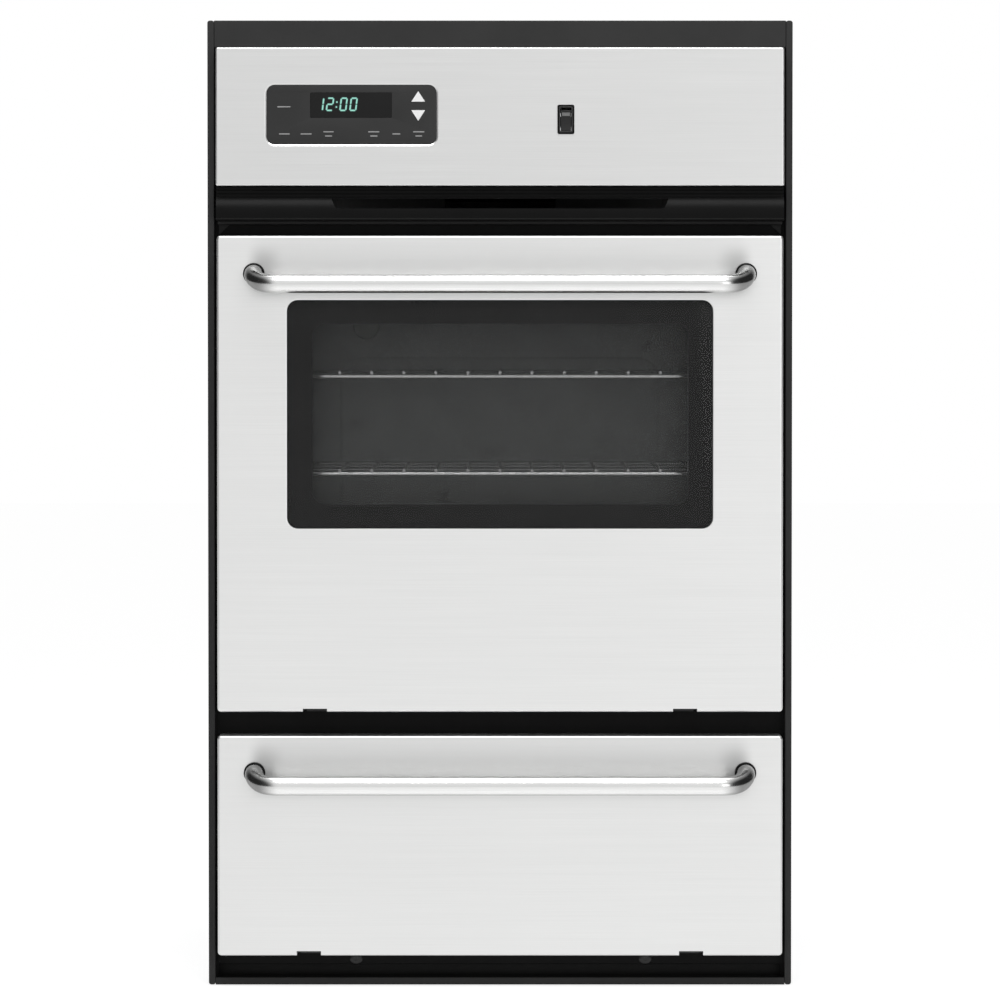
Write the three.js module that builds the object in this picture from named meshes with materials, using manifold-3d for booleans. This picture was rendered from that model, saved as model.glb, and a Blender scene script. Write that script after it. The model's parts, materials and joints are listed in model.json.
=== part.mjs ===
// Built-in gas wall oven with a drop-down oven door and a drop-down broiler door.
// Millimetres. +Z is up, the front looks along -Y, and +X is the viewer's right.
// The origin is the centre of the outer box, at the base.
import * as THREE from 'three';
import { mergeVertices } from 'three/addons/utils/BufferGeometryUtils.js';
import Module from 'manifold-3d';

const wasm = await Module();
wasm.setup();

// Face, read upward from the base
const faceWidth = 606;
const bottomReveal = 32.9;
const broilerDoorHeight = 228.4;
const doorGap = 24.5;
const ovenDoorHeight = 492.6;
const ventGap = 15.6;
const ventTrimHeight = 35;
const ventSeam = 0.6;
const controlPanelHeight = 142.9;
const topSeam = 0.5;
const topTrimHeight = 28.1;

// Cabinet shell behind the face
const sideOverlap = 25;
const topOverlap = 25;
const chassisDepth = 572;
const shellSheet = 1.2;
const shellFlange = 12;

// Face frame and outer trims
const frameSheet = 1.5;
const frameHemWidth = 14;
const trimReach = 18.5;
const trimFaceWidth = 7;
const trimSheet = 1.2;
const bottomLipHeight = 7.3;
const faceCorner = 2.8;
const doorSideGap = 3.6;
const panelSideGap = 2.5;

// Running and seating clearances
const seatGap = 0.3;
const overrun = 5;

// Control panel, touch panel and display
const panelReach = 38.5;
const panelSheet = 1.5;
const overlayCentreFromSide = 140.3;
const overlayCentreAbovePanel = 73.5;
const overlayWidth = 175;
const overlayHeight = 61;
const overlayCorner = 8;
const overlaySheet = 0.8;
const lensShift = 0.6;
const lensRise = 9.7;
const lensWidth = 84;
const lensHeight = 26;
const boardMargin = 9;
const boardPlate = 3;
const boardHousingInset = 12;
const boardHousingDepth = 24;
const controlOpeningSide = 33.5;
const controlOpeningEnd = 21.85;

// Rocker switch
const switchX = 68;
const switchAbovePanel = 68.5;
const switchFlangeWidth = 17.4;
const switchFlangeHeight = 30.3;
const switchFlangeThickness = 2;
const switchFlangeCorner = 1.5;
const switchWall = 1.2;
const switchBodyDepth = 16;
const rockerWidth = 10.7;
const rockerHalfHeight = 10.6;
const rockerNose = 8.5;
const rockerWaist = 6;
const rockerKneeDepth = 1;
const rockerKneeHalf = 10;
const rockerHeel = 3;
const rockerHeelHalf = 4;
const rockerSweepHalf = 12.2;
const rockerPivotDepth = 6;
const rockerTilt = 10;
const rockerPinRadius = 1.5;
const rockerPinReach = 0.8;
const pinSides = 8;

// Vent trim with its slot
const ventStripHeight = 10.8;
const ventStripReach = 29;
const ventSheet = 1.5;
const noseSteps = 6;
const ventNoseReach = 38;
const ventNoseRadius = 24;
const ventNoseBelowStrip = 17.3;
const ventLipHeight = 1;
const ventSlotSide = 119.5;
const ventSlotSlant = 5;
const ventSlotBelowStrip = 1.6;
const ventSlotHeight = 10.3;

// Oven cavity and broiler cavity
const insulationSide = 46.6;
const cavityRearRoom = 102;
const cavityAboveDoorBottom = 43.2;
const cavityBelowDoorTop = 39.5;
const linerSheet = 1.2;
const linerSplitRise = 5;
const broilerOpeningBelowDoorTop = 22.3;
const broilerOpeningAboveDoorBottom = 28.3;
const broilerLinerDrop = 8;
const cavityCorner = 12;

// Oven floor and its ledges
const ledgeWidth = 9;
const floorSheet = 1.5;
const floorSlotWidth = 8;
const floorSlotBridge = 18;
const floorSlotCount = 5;
const floorSlotInset = 22;
const floorSlotFront = 50;
const floorSlotRear = 48;

// Insulation round the oven cavity
const insulationTop = 40;
const insulationRear = 40;
const insulationFront = 3;
const insulationBelowFloor = 15;

// Burner, flame spreader, igniter and gas supply
const burnerBelowFloor = 50;
const burnerRadius = 17;
const burnerBore = 9;
const burnerFront = 60;
const burnerTailRadius = 13;
const burnerTailLength = 40;
const burnerTailPast = 18;
const burnerNeck = 12;
const burnerSides = 16;
const burnerBoreDepth = 40;
const supportFront = 75;
const supportDepth = 18;
const supportHeight = 30;
const supportSheet = 2;
const saddleHalf = 26;
const spreaderHalf = 95;
const spreaderFront = 95;
const spreaderRear = 75;
const spreaderRise = 12;
const spreaderWing = 14;
const spreaderSheet = 1.5;
const spreaderEnd = 2;
const igniterFront = 180;
const igniterLength = 60;
const igniterHeight = 18;
const igniterThickness = 9;
const valveWidth = 60;
const valveDepth = 44;
const valveHeight = 52;
const valveHoodLength = 10;
const pipeRadius = 10;
const pipeZ = 80;
const pipeNutRadius = 17;
const pipeNutLength = 14;
const pipeSides = 12;
const nutSides = 6;

// Flue duct from the oven ceiling to the vent slot
const flueHalf = 60;
const flueBack = 200;
const flueDepth = 60;
const flueKnee = 110;
const flueSheet = 1.2;
const flueMouthHeight = 16;
const flueMouthMargin = 2;

// Oven lamp and temperature probe
const lampSide = 79;
const lampBelowCeiling = 55;
const lampFlangeRadius = 24;
const lampFlangeThickness = 3;
const lampNeckRadius = 15;
const lampSocketRadius = 12;
const lampSocketDepth = 12;
const bulbRadius = 15;
const bulbNeckRadius = 10;
const bulbNeckLength = 12;
const lampSides = 16;
const globeSteps = 6;
const probeSide = 99;
const probeBelowCeiling = 40;
const probeRadius = 2.5;
const probeLength = 90;
const probeFlangeWidth = 34;
const probeFlangeHeight = 16;
const probeFlangeSheet = 1.5;
const probeSides = 8;

// Door gasket
const gasketInset = 8;
const gasketWidth = 10;
const gasketThickness = 6.2;
const gasketCorner = 18;

// Oven racks and their side guides
const railCount = 6;
const lowestRackAboveFloor = 99;
const highestRackBelowCeiling = 55;
const railsBelowLowerRackCount = 2;
const railsBelowUpperRackCount = 4;
const railRadius = 2.5;
const guideRadius = 3;
const guideFront = 60;
const guideRear = 60;
const guideOverhang = 12;
const guideEnd = 14;
const rackRodRadius = 3;
const rackWireRadius = 2;
const rackWirePitch = 33.5;
const rackWireMargin = 10;
const rackSink = 1.2;
const rackFront = 20;
const rackRear = 30;
const rackCrossCount = 2;
const rodSides = 6;

// Broiler pan and grid
const panLedgeWidth = 14;
const panLedgeBelowOpening = 60;
const panLedgeFront = 20;
const panLedgeRear = 15;
const panSideGap = 7;
const panFront = 40;
const panRear = 50;
const panRimWidth = 17;
const panDepth = 35;
const panSheet = 1.5;
const panCorner = 14;
const panWellCorner = 6;
const gridInset = 11;
const gridSheet = 1.5;
const gridCorner = 8;
const gridSlotWidth = 6;
const gridSlotPitch = 26;
const gridSlotMargin = 20;
const gridSlotRows = 3;
const gridBridge = 22;

// Doors
const doorReach = 43.5;
const skinRearReach = 9;
const skinSheet = 1.2;
const doorCorner = 4;
const linerReach = 6.5;
const linerTrayDepth = 17.5;
const ovenNotchFromSide = 100.9;
const ovenNotchHeight = 3.5;
const broilerNotchFromSide = 94.4;
const broilerNotchHeight = 4.8;
const notchWidth = 25;

// Oven door window, inner plug and filling
const windowSide = 72.55;
const windowBelowTop = 66.7;
const windowAboveBottom = 190;
const windowCorner = 11;
const glassLap = 8;
const glassThickness = 4;
const plugDepth = 8;
const plugSideClearance = 12;
const plugEndClearance = 12;
const plugCorner = 10;
const innerWindowInset = 25;
const innerGlassLap = 10;
const doorFillThickness = 26;
const doorFillEdge = 6;
const doorFillWindow = 14;

// Door hinges
const pivotReach = 13;
const pivotRise = 11;
const pinRadius = 3;
const pinClearance = 0.4;
const lugThickness = 6;
const lugRadius = 6;
const lugSideGap = 0.5;
const armCheek = 2.5;
const armRadius = 6;
const armWeb = 2.5;
const armLength = 110;
const armDepth = 12;
const armWebRise = 13;
const bracketWidth = 20;
const bracketHeight = 26;
const bracketSheet = 2;
const hingeSides = 12;
const hingeSlotRise = 22;

// Door handles
const handleRadius = 9.5;
const handleStandOff = 40.5;
const handleDroop = 10.5;
const handleInset = 38.4;
const handleBend = 30;
const ovenHandleBelowTop = 39.5;
const broilerHandleBelowTop = 38.6;
const handleSteps = 7;
const bendSteps = 7;
const grommetLip = 1.35;
const grommetDepth = 3.5;
const grommetSides = 20;

// Corners of flat pieces are drawn with this many steps
const cornerSteps = 3;

// Heights that follow from the stack of the face
const broilerDoorBottom = bottomReveal;
const ovenDoorBottom = broilerDoorBottom + broilerDoorHeight + doorGap;
const ventBottom = ovenDoorBottom + ovenDoorHeight + ventGap;
const panelBottom = ventBottom + ventTrimHeight + ventSeam;
const topTrimBottom = panelBottom + controlPanelHeight + topSeam;
const faceHeight = topTrimBottom + topTrimHeight;
const faceHalf = faceWidth / 2;
const trimInner = faceHalf - trimFaceWidth;
const doorHalf = trimInner - doorSideGap;
const panelHalf = trimInner - panelSideGap;
const shellHalf = faceHalf - sideOverlap;
const shellHeight = faceHeight - topOverlap;
const shellInner = shellHalf - shellSheet;
const broilerDoorTop = broilerDoorBottom + broilerDoorHeight;
const ovenDoorTop = ovenDoorBottom + ovenDoorHeight;

// Depths that follow from the reach of the handles and the depth of the shell
const handleFront = frameSheet + doorReach + handleStandOff + handleRadius;
const cabinetY = (handleFront - chassisDepth) / 2;
const faceY = cabinetY - frameSheet;
const shellRearY = cabinetY + chassisDepth;
const rearSheetY = shellRearY - shellSheet;
const cavityFloorZ = ovenDoorBottom + cavityAboveDoorBottom;
const cavityTopZ = ovenDoorTop - cavityBelowDoorTop;
const cavityRearY = shellRearY - cavityRearRoom;
const linerOuter = shellInner - insulationSide;
const cavityHalf = linerOuter - linerSheet;
const linerTopZ = cavityTopZ + linerSheet;
const linerRearY = cavityRearY + linerSheet;
const ledgeTopZ = cavityFloorZ - floorSheet;
const broilerOpeningTop = broilerDoorTop - broilerOpeningBelowDoorTop;
const broilerOpeningBottom = broilerDoorBottom + broilerOpeningAboveDoorBottom;
const broilerLinerBottom = broilerOpeningBottom - broilerLinerDrop;
const linerSplitZ = broilerOpeningTop + linerSplitRise;

const sides = [{ name: 'left', sign: -1 }, { name: 'right', sign: 1 }];

const ovenDoor = {
  name: 'oven',
  bottom: ovenDoorBottom,
  top: ovenDoorTop,
  notchX: doorHalf - ovenNotchFromSide,
  notchHeight: ovenNotchHeight,
  handleZ: ovenDoorTop - ovenHandleBelowTop,
};

const broilerDoor = {
  name: 'broiler',
  bottom: broilerDoorBottom,
  top: broilerDoorTop,
  notchX: doorHalf - broilerNotchFromSide,
  notchHeight: broilerNotchHeight,
  handleZ: broilerDoorTop - broilerHandleBelowTop,
};

// Y of a plane that lies a given reach in front of the face frame
function ahead(reach) {
  return faceY - reach;
}

// Solids
function solid(geometry) {
  const bare = geometry.clone();
  bare.deleteAttribute('normal');
  bare.deleteAttribute('uv');
  const merged = mergeVertices(bare);
  return new wasm.Manifold(new wasm.Mesh({
    numProp: 3,
    vertProperties: new Float32Array(merged.attributes.position.array),
    triVerts: new Uint32Array(merged.index.array),
  }));
}

function joined(first, ...others) {
  return others.reduce((whole, other) => whole.add(other), first);
}

function cut(first, ...others) {
  return others.reduce((whole, other) => whole.subtract(other), first);
}

function geometryOf(body) {
  const mesh = body.getMesh();
  const geometry = new THREE.BufferGeometry();
  geometry.setAttribute('position', new THREE.BufferAttribute(mesh.vertProperties, 3));
  geometry.setIndex(new THREE.BufferAttribute(mesh.triVerts, 1));
  geometry.computeVertexNormals();
  return geometry;
}

function block(x0, x1, y0, y1, z0, z1) {
  const geometry = new THREE.BoxGeometry(Math.abs(x1 - x0), Math.abs(y1 - y0), Math.abs(z1 - z0));
  return solid(geometry.translate((x0 + x1) / 2, (y0 + y1) / 2, (z0 + z1) / 2));
}

function roundedOutline(x0, x1, z0, z1, radius) {
  const outline = new THREE.Shape();
  outline.moveTo(x0 + radius, z0);
  outline.absarc(x1 - radius, z0 + radius, radius, -Math.PI / 2, 0);
  outline.absarc(x1 - radius, z1 - radius, radius, 0, Math.PI / 2);
  outline.absarc(x0 + radius, z1 - radius, radius, Math.PI / 2, Math.PI);
  outline.absarc(x0 + radius, z0 + radius, radius, Math.PI, 3 * Math.PI / 2);
  return outline;
}

function polygon(points) {
  return new THREE.Shape(points.map(([u, v]) => new THREE.Vector2(u, v)));
}

function extruded(outline, depth, steps = cornerSteps) {
  return new THREE.ExtrudeGeometry(outline, { depth, bevelEnabled: false, curveSegments: steps });
}

// An outline in X and Z, extruded forward from a rear plane
function plate(outline, rearY, thickness, steps = cornerSteps) {
  return solid(extruded(outline, thickness, steps).rotateX(Math.PI / 2).translate(0, rearY, 0));
}

// An outline in X and Y, extruded upward
function slab(outline, z0, height, steps = cornerSteps) {
  return solid(extruded(outline, height, steps).translate(0, 0, z0));
}

// An outline in Y and Z, extruded towards +X
const profileToBar = new THREE.Matrix4().makeBasis(
  new THREE.Vector3(0, 1, 0),
  new THREE.Vector3(0, 0, 1),
  new THREE.Vector3(1, 0, 0),
);

function bar(outline, x0, x1, steps = cornerSteps) {
  return solid(extruded(outline, x1 - x0, steps).applyMatrix4(profileToBar).translate(x0, 0, 0));
}

function rod(radius, from, to, roundness) {
  const start = new THREE.Vector3(...from);
  const axis = new THREE.Vector3(...to).sub(start);
  const geometry = new THREE.CylinderGeometry(radius, radius, axis.length(), roundness);
  const upright = new THREE.Vector3(0, 1, 0);
  const turn = new THREE.Quaternion().setFromUnitVectors(upright, axis.clone().normalize());
  return solid(geometry.applyQuaternion(turn).translate(...start.addScaledVector(axis, 1 / 2).toArray()));
}

// A profile of radius and Y, turned about an axis that runs front to back
function turned(profile, x, z, roundness) {
  const points = profile.map(([radius, y]) => new THREE.Vector2(radius, y));
  return solid(new THREE.LatheGeometry(points, roundness).translate(x, 0, z));
}

// Materials
function paint(colour, roughness, metalness) {
  return new THREE.MeshStandardMaterial({ color: colour, roughness, metalness });
}

const stainless = paint('#d6d7d6', 0.36, 1);
const polished = paint('#d9dad9', 0.2, 1);
const galvanised = paint('#a9adae', 0.5, 0.9);
const blackPaint = paint('#202020', 0.5, 0.1);
const trimPaint = paint('#3a3a3a', 0.45, 0.1);
const blackPlastic = paint('#141414', 0.5, 0);
const keypadFilm = paint('#3e3e3e', 0.4, 0);
const darkGlass = paint('#2f2f2f', 0.08, 0);
const clearGlass = paint('#55595a', 0.05, 0);
const enamel = paint('#34373a', 0.3, 0);
const wool = paint('#d8cf9a', 0.95, 0);
const chrome = paint('#d5d8da', 0.15, 1);
const castAluminium = paint('#b4b7b9', 0.5, 0.8);
const brass = paint('#c2a14f', 0.35, 1);
const ceramic = paint('#e4e0d4', 0.6, 0);
const sealFibre = paint('#4a4a48', 0.9, 0);

const wallOven = new THREE.Group();
const chassis = new THREE.Group();
wallOven.add(chassis);

function bodyGroup() {
  const group = new THREE.Group();
  wallOven.add(group);
  return group;
}

function put(group, name, body, material) {
  const mesh = new THREE.Mesh(geometryOf(body), material);
  mesh.name = name;
  group.add(mesh);
}

// Cabinet shell
function sidePanel(sign) {
  const wall = block(sign * shellHalf, sign * shellInner, cabinetY, shellRearY, 0, shellHeight);
  const flangeInner = sign * (shellHalf - shellFlange);
  const flange = block(sign * shellHalf, flangeInner, cabinetY, cabinetY + shellSheet, 0, shellHeight);
  return joined(wall, flange);
}

function rearCover() {
  const sheet = block(-shellInner, shellInner, rearSheetY, shellRearY, 0, shellHeight);
  const hole = pipeRadius + seatGap;
  const pipeHole = rod(hole, [0, rearSheetY - overrun, pipeZ], [0, shellRearY + overrun, pipeZ], pipeSides);
  return cut(sheet, pipeHole);
}

function topCover() {
  const front = cabinetY + shellSheet;
  return block(-shellInner, shellInner, front, rearSheetY, shellHeight - shellSheet, shellHeight);
}

function basePan() {
  return block(-shellInner, shellInner, cabinetY + shellSheet, rearSheetY, 0, shellSheet);
}

// Face frame and trims
const ventStripZ = ventBottom + ventTrimHeight - ventStripHeight;
const ventSlotTop = ventStripZ - ventSlotBelowStrip;
const ventSlotZ = ventSlotTop - ventSlotHeight;
const ventSlotHalf = panelHalf - ventSlotSide;
const flueMouthZ = ventSlotZ + (ventSlotHeight - flueMouthHeight) / 2;
const controlOpeningTop = panelBottom + controlPanelHeight - controlOpeningEnd;

// The frame's edge is folded double at both sides and the top, where it lies on the cabinet's face
function frameHem() {
  const half = faceHalf - frameHemWidth;
  const outline = roundedOutline(-faceHalf, faceHalf, 0, faceHeight, faceCorner);
  return cut(
    plate(outline, cabinetY + frameSheet, 2 * frameSheet),
    block(-half, half, cabinetY - overrun, cabinetY + frameSheet + overrun, -overrun,
      faceHeight - frameHemWidth),
  );
}

function faceFrame() {
  const sheet = plate(roundedOutline(-faceHalf, faceHalf, 0, faceHeight, faceCorner), cabinetY, frameSheet);
  const openings = [
    [cavityHalf, cavityFloorZ, cavityTopZ, cavityCorner],
    [cavityHalf, broilerOpeningBottom, broilerOpeningTop, cavityCorner],
    [ventSlotHalf, flueMouthZ, flueMouthZ + flueMouthHeight, flueMouthMargin],
    [panelHalf - controlOpeningSide, panelBottom + controlOpeningEnd, controlOpeningTop, cavityCorner],
  ];
  const cutters = openings.map(([half, z0, z1, corner]) =>
    plate(roundedOutline(-half, half, z0, z1, corner), cabinetY + overrun, frameSheet + 2 * overrun));
  return cut(joined(sheet, frameHem()), ...cutters);
}

function sideTrim(sign) {
  const outer = sign * faceHalf;
  const inner = sign * trimInner;
  const front = ahead(trimReach);
  const channel = cut(
    block(outer, inner, front, faceY, 0, faceHeight),
    block(outer - sign * trimSheet, inner + sign * trimSheet, front + trimSheet, faceY + overrun,
      -overrun, faceHeight + overrun),
  );
  const envelope = roundedOutline(-faceHalf, faceHalf, 0, faceHeight, faceCorner);
  return channel.intersect(plate(envelope, faceY, trimReach));
}

function topTrim() {
  const front = ahead(trimReach);
  return cut(
    block(-trimInner, trimInner, front, faceY, topTrimBottom, faceHeight),
    block(-trimInner - overrun, trimInner + overrun, front + trimSheet, faceY + overrun,
      topTrimBottom + trimSheet, faceHeight - trimSheet),
  );
}

function bottomTrim() {
  const front = ahead(trimReach);
  return joined(
    block(-trimInner, trimInner, front, faceY, 0, trimSheet),
    block(-trimInner, trimInner, front, front + trimSheet, 0, bottomLipHeight),
  );
}

// Vent trim: a formed sheet with a recessed strip, a rounded nose and a lower lip
function ventProfile(inset) {
  const top = ventBottom + ventTrimHeight - inset;
  const bottom = ventBottom + inset;
  const stripZ = ventStripZ - inset;
  const centreY = ahead(ventNoseReach - ventNoseRadius);
  const centreZ = ventStripZ - ventNoseBelowStrip;
  const radius = ventNoseRadius - inset;
  const lipZ = ventBottom + ventLipHeight + inset;
  const startAngle = Math.PI - Math.asin((stripZ - centreZ) / radius);
  const endAngle = Math.PI + Math.asin((centreZ - lipZ) / radius);
  const rear = inset > 0 ? faceY + overrun : faceY;
  const outline = new THREE.Shape();
  outline.moveTo(rear, top);
  outline.lineTo(ahead(ventStripReach - inset), top);
  outline.lineTo(ahead(ventStripReach - inset), stripZ);
  outline.absarc(centreY, centreZ, radius, startAngle, endAngle);
  outline.lineTo(centreY + radius * Math.cos(endAngle), bottom);
  outline.lineTo(rear, bottom);
  return outline;
}

function ventTrim() {
  const outer = bar(ventProfile(0), -panelHalf, panelHalf, noseSteps);
  const inner = bar(ventProfile(ventSheet), -panelHalf - overrun, panelHalf + overrun, noseSteps);
  const lowHalf = ventSlotHalf - ventSlotSlant;
  const slotOutline = polygon([
    [-lowHalf, ventSlotZ],
    [lowHalf, ventSlotZ],
    [ventSlotHalf, ventSlotTop],
    [-ventSlotHalf, ventSlotTop],
  ]);
  const slot = plate(slotOutline, ahead(ventStripReach - ventSheet - overrun), ventNoseReach);
  return cut(outer, inner, slot);
}

// Control panel and what it carries
const overlayCentreX = -panelHalf + overlayCentreFromSide;
const overlayZ = panelBottom + overlayCentreAbovePanel;
const overlayHalfWidth = overlayWidth / 2;
const overlayHalfHeight = overlayHeight / 2;
const switchZ = panelBottom + switchAbovePanel;
const rockerHalf = rockerWidth / 2;
const switchBodyHalf = rockerHalf + seatGap + switchWall;
const switchBodyHalfHeight = rockerSweepHalf + switchWall;
const panelFrontY = ahead(panelReach);
const panelBackY = panelFrontY + panelSheet;

function overlayOutline(margin) {
  return roundedOutline(
    overlayCentreX - overlayHalfWidth - margin,
    overlayCentreX + overlayHalfWidth + margin,
    overlayZ - overlayHalfHeight - margin,
    overlayZ + overlayHalfHeight + margin,
    overlayCorner + margin,
  );
}

function lensBlock(margin, rearY, thickness) {
  const x = overlayCentreX - lensShift;
  const z = overlayZ + lensRise;
  const halfWidth = lensWidth / 2 + margin;
  const halfHeight = lensHeight / 2 + margin;
  return block(x - halfWidth, x + halfWidth, rearY - thickness, rearY, z - halfHeight, z + halfHeight);
}

function controlPanel() {
  const top = panelBottom + controlPanelHeight;
  const tray = cut(
    block(-panelHalf, panelHalf, panelFrontY, faceY, panelBottom, top),
    block(-panelHalf + panelSheet, panelHalf - panelSheet, panelBackY, faceY + overrun,
      panelBottom + panelSheet, top - panelSheet),
  );
  const overlayHole = plate(overlayOutline(seatGap), panelBackY + overrun, panelSheet + 2 * overrun);
  const switchHole = block(
    switchX - switchBodyHalf - seatGap, switchX + switchBodyHalf + seatGap,
    panelFrontY - overrun, panelBackY + overrun,
    switchZ - switchBodyHalfHeight - seatGap, switchZ + switchBodyHalfHeight + seatGap,
  );
  return cut(tray, overlayHole, switchHole);
}

function controlOverlay() {
  const film = plate(overlayOutline(0), panelBackY, overlaySheet);
  return cut(film, lensBlock(seatGap, panelBackY + overrun, overlaySheet + 2 * overrun));
}

function controlBoard() {
  const mountingPlate = plate(overlayOutline(boardMargin), panelBackY + boardPlate, boardPlate);
  const half = overlayHalfWidth - boardHousingInset;
  const halfHeight = overlayHalfHeight - boardHousingInset / 2;
  const housingFront = panelBackY + boardPlate;
  const housing = block(overlayCentreX - half, overlayCentreX + half,
    housingFront - seatGap, housingFront + boardHousingDepth,
    overlayZ - halfHeight, overlayZ + halfHeight);
  return joined(mountingPlate, housing);
}

const rockerPivotY = panelFrontY - switchFlangeThickness + rockerPivotDepth;

function rockerPin(radius, reach) {
  const half = rockerHalf + reach;
  const ends = [-half, half].map((x) => [switchX + x, rockerPivotY, switchZ]);
  return rod(radius, ends[0], ends[1], pinSides);
}

function switchHousing() {
  const halfWidth = switchFlangeWidth / 2;
  const halfHeight = switchFlangeHeight / 2;
  const flangeOutline = roundedOutline(switchX - halfWidth, switchX + halfWidth,
    switchZ - halfHeight, switchZ + halfHeight, switchFlangeCorner);
  const flange = plate(flangeOutline, panelFrontY, switchFlangeThickness);
  const body = block(switchX - switchBodyHalf, switchX + switchBodyHalf,
    panelFrontY - switchFlangeThickness / 2, panelFrontY + switchBodyDepth,
    switchZ - switchBodyHalfHeight, switchZ + switchBodyHalfHeight);
  const recessHalf = rockerHalf + seatGap;
  const recess = block(switchX - recessHalf, switchX + recessHalf,
    panelFrontY - switchFlangeThickness - overrun, panelFrontY + switchBodyDepth - switchWall,
    switchZ - rockerSweepHalf, switchZ + rockerSweepHalf);
  const pinBore = rockerPin(rockerPinRadius + seatGap, seatGap + rockerPinReach);
  return cut(joined(flange, body), recess, pinBore);
}

function switchRocker() {
  const profile = polygon([
    [-rockerNose, rockerHalfHeight],
    [-rockerWaist, 0],
    [-rockerNose, -rockerHalfHeight],
    [-rockerKneeDepth, -rockerKneeHalf],
    [rockerHeel, -rockerHeelHalf],
    [rockerHeel, rockerHeelHalf],
    [-rockerKneeDepth, rockerKneeHalf],
  ]);
  const paddle = extruded(profile, rockerWidth).applyMatrix4(profileToBar);
  paddle.rotateX(THREE.MathUtils.degToRad(rockerTilt));
  const tilted = solid(paddle.translate(switchX - rockerHalf, rockerPivotY, switchZ));
  return joined(tilted, rockerPin(rockerPinRadius, rockerPinReach));
}

// Oven liner, broiler liner and what hangs on them
const flueFrontY = cabinetY + flueBack;
const flueRearY = flueFrontY + flueDepth;
const lampX = lampSide - cavityHalf;
const lampZ = cavityTopZ - lampBelowCeiling;
const probeX = cavityHalf - probeSide;
const probeZ = cavityTopZ - probeBelowCeiling;
const insulationRearY = linerRearY + insulationRear;
const insulationTopZ = linerTopZ + insulationTop;
const insulationBottomZ = cavityFloorZ - insulationBelowFloor;
const burnerZ = cavityFloorZ - burnerBelowFloor;
const panLedgeZ = broilerOpeningTop - panLedgeBelowOpening;

function ovenLiner() {
  const shell = cut(
    block(-linerOuter, linerOuter, cabinetY, linerRearY, linerSplitZ, linerTopZ),
    block(-cavityHalf, cavityHalf, cabinetY - overrun, cavityRearY, linerSplitZ - overrun, cavityTopZ),
  );
  const ledges = sides.map(({ sign }) => block(
    sign * (cavityHalf + linerSheet / 2), sign * (cavityHalf - ledgeWidth),
    cabinetY, cavityRearY + linerSheet / 2, ledgeTopZ - linerSheet, ledgeTopZ));
  const flueHole = block(-flueHalf + flueSheet, flueHalf - flueSheet,
    flueFrontY + flueSheet, flueRearY - flueSheet, cavityTopZ - overrun, linerTopZ + overrun);
  const lampHole = rod(lampNeckRadius + seatGap, [lampX, cavityRearY - overrun, lampZ],
    [lampX, linerRearY + overrun, lampZ], lampSides);
  const burnerHole = rod(burnerTailRadius + seatGap, [0, cavityRearY - overrun, burnerZ],
    [0, linerRearY + overrun, burnerZ], burnerSides);
  return cut(joined(shell, ...ledges), flueHole, lampHole, burnerHole);
}

function broilerLiner() {
  const shell = cut(
    block(-linerOuter, linerOuter, cabinetY, linerRearY, broilerLinerBottom, linerSplitZ),
    block(-cavityHalf, cavityHalf, cabinetY - overrun, cavityRearY,
      broilerLinerBottom + linerSheet, linerSplitZ + overrun),
  );
  const ledgeFrontY = cabinetY + panLedgeFront;
  const ledges = sides.map(({ sign }) => block(
    sign * (cavityHalf + linerSheet / 2), sign * (cavityHalf - panLedgeWidth),
    ledgeFrontY, cavityRearY - panLedgeRear, panLedgeZ - linerSheet, panLedgeZ));
  return joined(shell, ...ledges);
}

function insulationBlanket() {
  const front = cabinetY + insulationFront;
  const outerHalf = shellInner - seatGap;
  const wrap = cut(
    block(-outerHalf, outerHalf, front, insulationRearY, insulationBottomZ, insulationTopZ),
    block(-linerOuter - seatGap, linerOuter + seatGap, front - overrun, linerRearY + seatGap,
      insulationBottomZ - overrun, linerTopZ + seatGap),
  );
  const riser = block(-flueHalf - seatGap, flueHalf + seatGap,
    flueFrontY - seatGap, flueRearY + seatGap, linerTopZ, insulationTopZ + overrun);
  const lampHole = rod(lampNeckRadius + seatGap, [lampX, linerRearY - overrun, lampZ],
    [lampX, insulationRearY + overrun, lampZ], lampSides);
  return cut(wrap, riser, lampHole);
}

function ovenFloor() {
  const half = cavityHalf - seatGap;
  const sheet = block(-half, half, cabinetY + seatGap, cavityRearY - seatGap, ledgeTopZ, cavityFloorZ);
  const firstSlotY = cabinetY + floorSlotFront;
  const slotPitch = (cavityRearY - floorSlotRear + floorSlotBridge - firstSlotY) / floorSlotCount;
  const slots = [];
  for (const { sign } of sides) {
    for (let i = 0; i < floorSlotCount; i += 1) {
      const front = firstSlotY + i * slotPitch;
      const outer = sign * (cavityHalf - floorSlotInset);
      slots.push(block(outer, outer - sign * floorSlotWidth, front, front + slotPitch - floorSlotBridge,
        ledgeTopZ - overrun, cavityFloorZ + overrun));
    }
  }
  return cut(sheet, ...slots);
}

// Burner with its open tail, pointing back through the liner
const burnerFrontY = cabinetY + burnerFront;
const burnerTailY = linerRearY + burnerTailPast;

function ovenBurner() {
  const bodyEnd = cavityRearY - burnerTailLength;
  return turned([
    [0, burnerFrontY],
    [burnerRadius, burnerFrontY],
    [burnerRadius, bodyEnd - burnerNeck],
    [burnerTailRadius, bodyEnd],
    [burnerTailRadius, burnerTailY],
    [burnerBore, burnerTailY],
    [burnerBore, burnerTailY - burnerBoreDepth],
    [0, burnerTailY - burnerBoreDepth],
  ], 0, burnerZ, burnerSides);
}

function burnerHole(y0, y1) {
  return rod(burnerRadius + seatGap, [0, y0 - overrun, burnerZ], [0, y1 + overrun, burnerZ], burnerSides);
}

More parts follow.
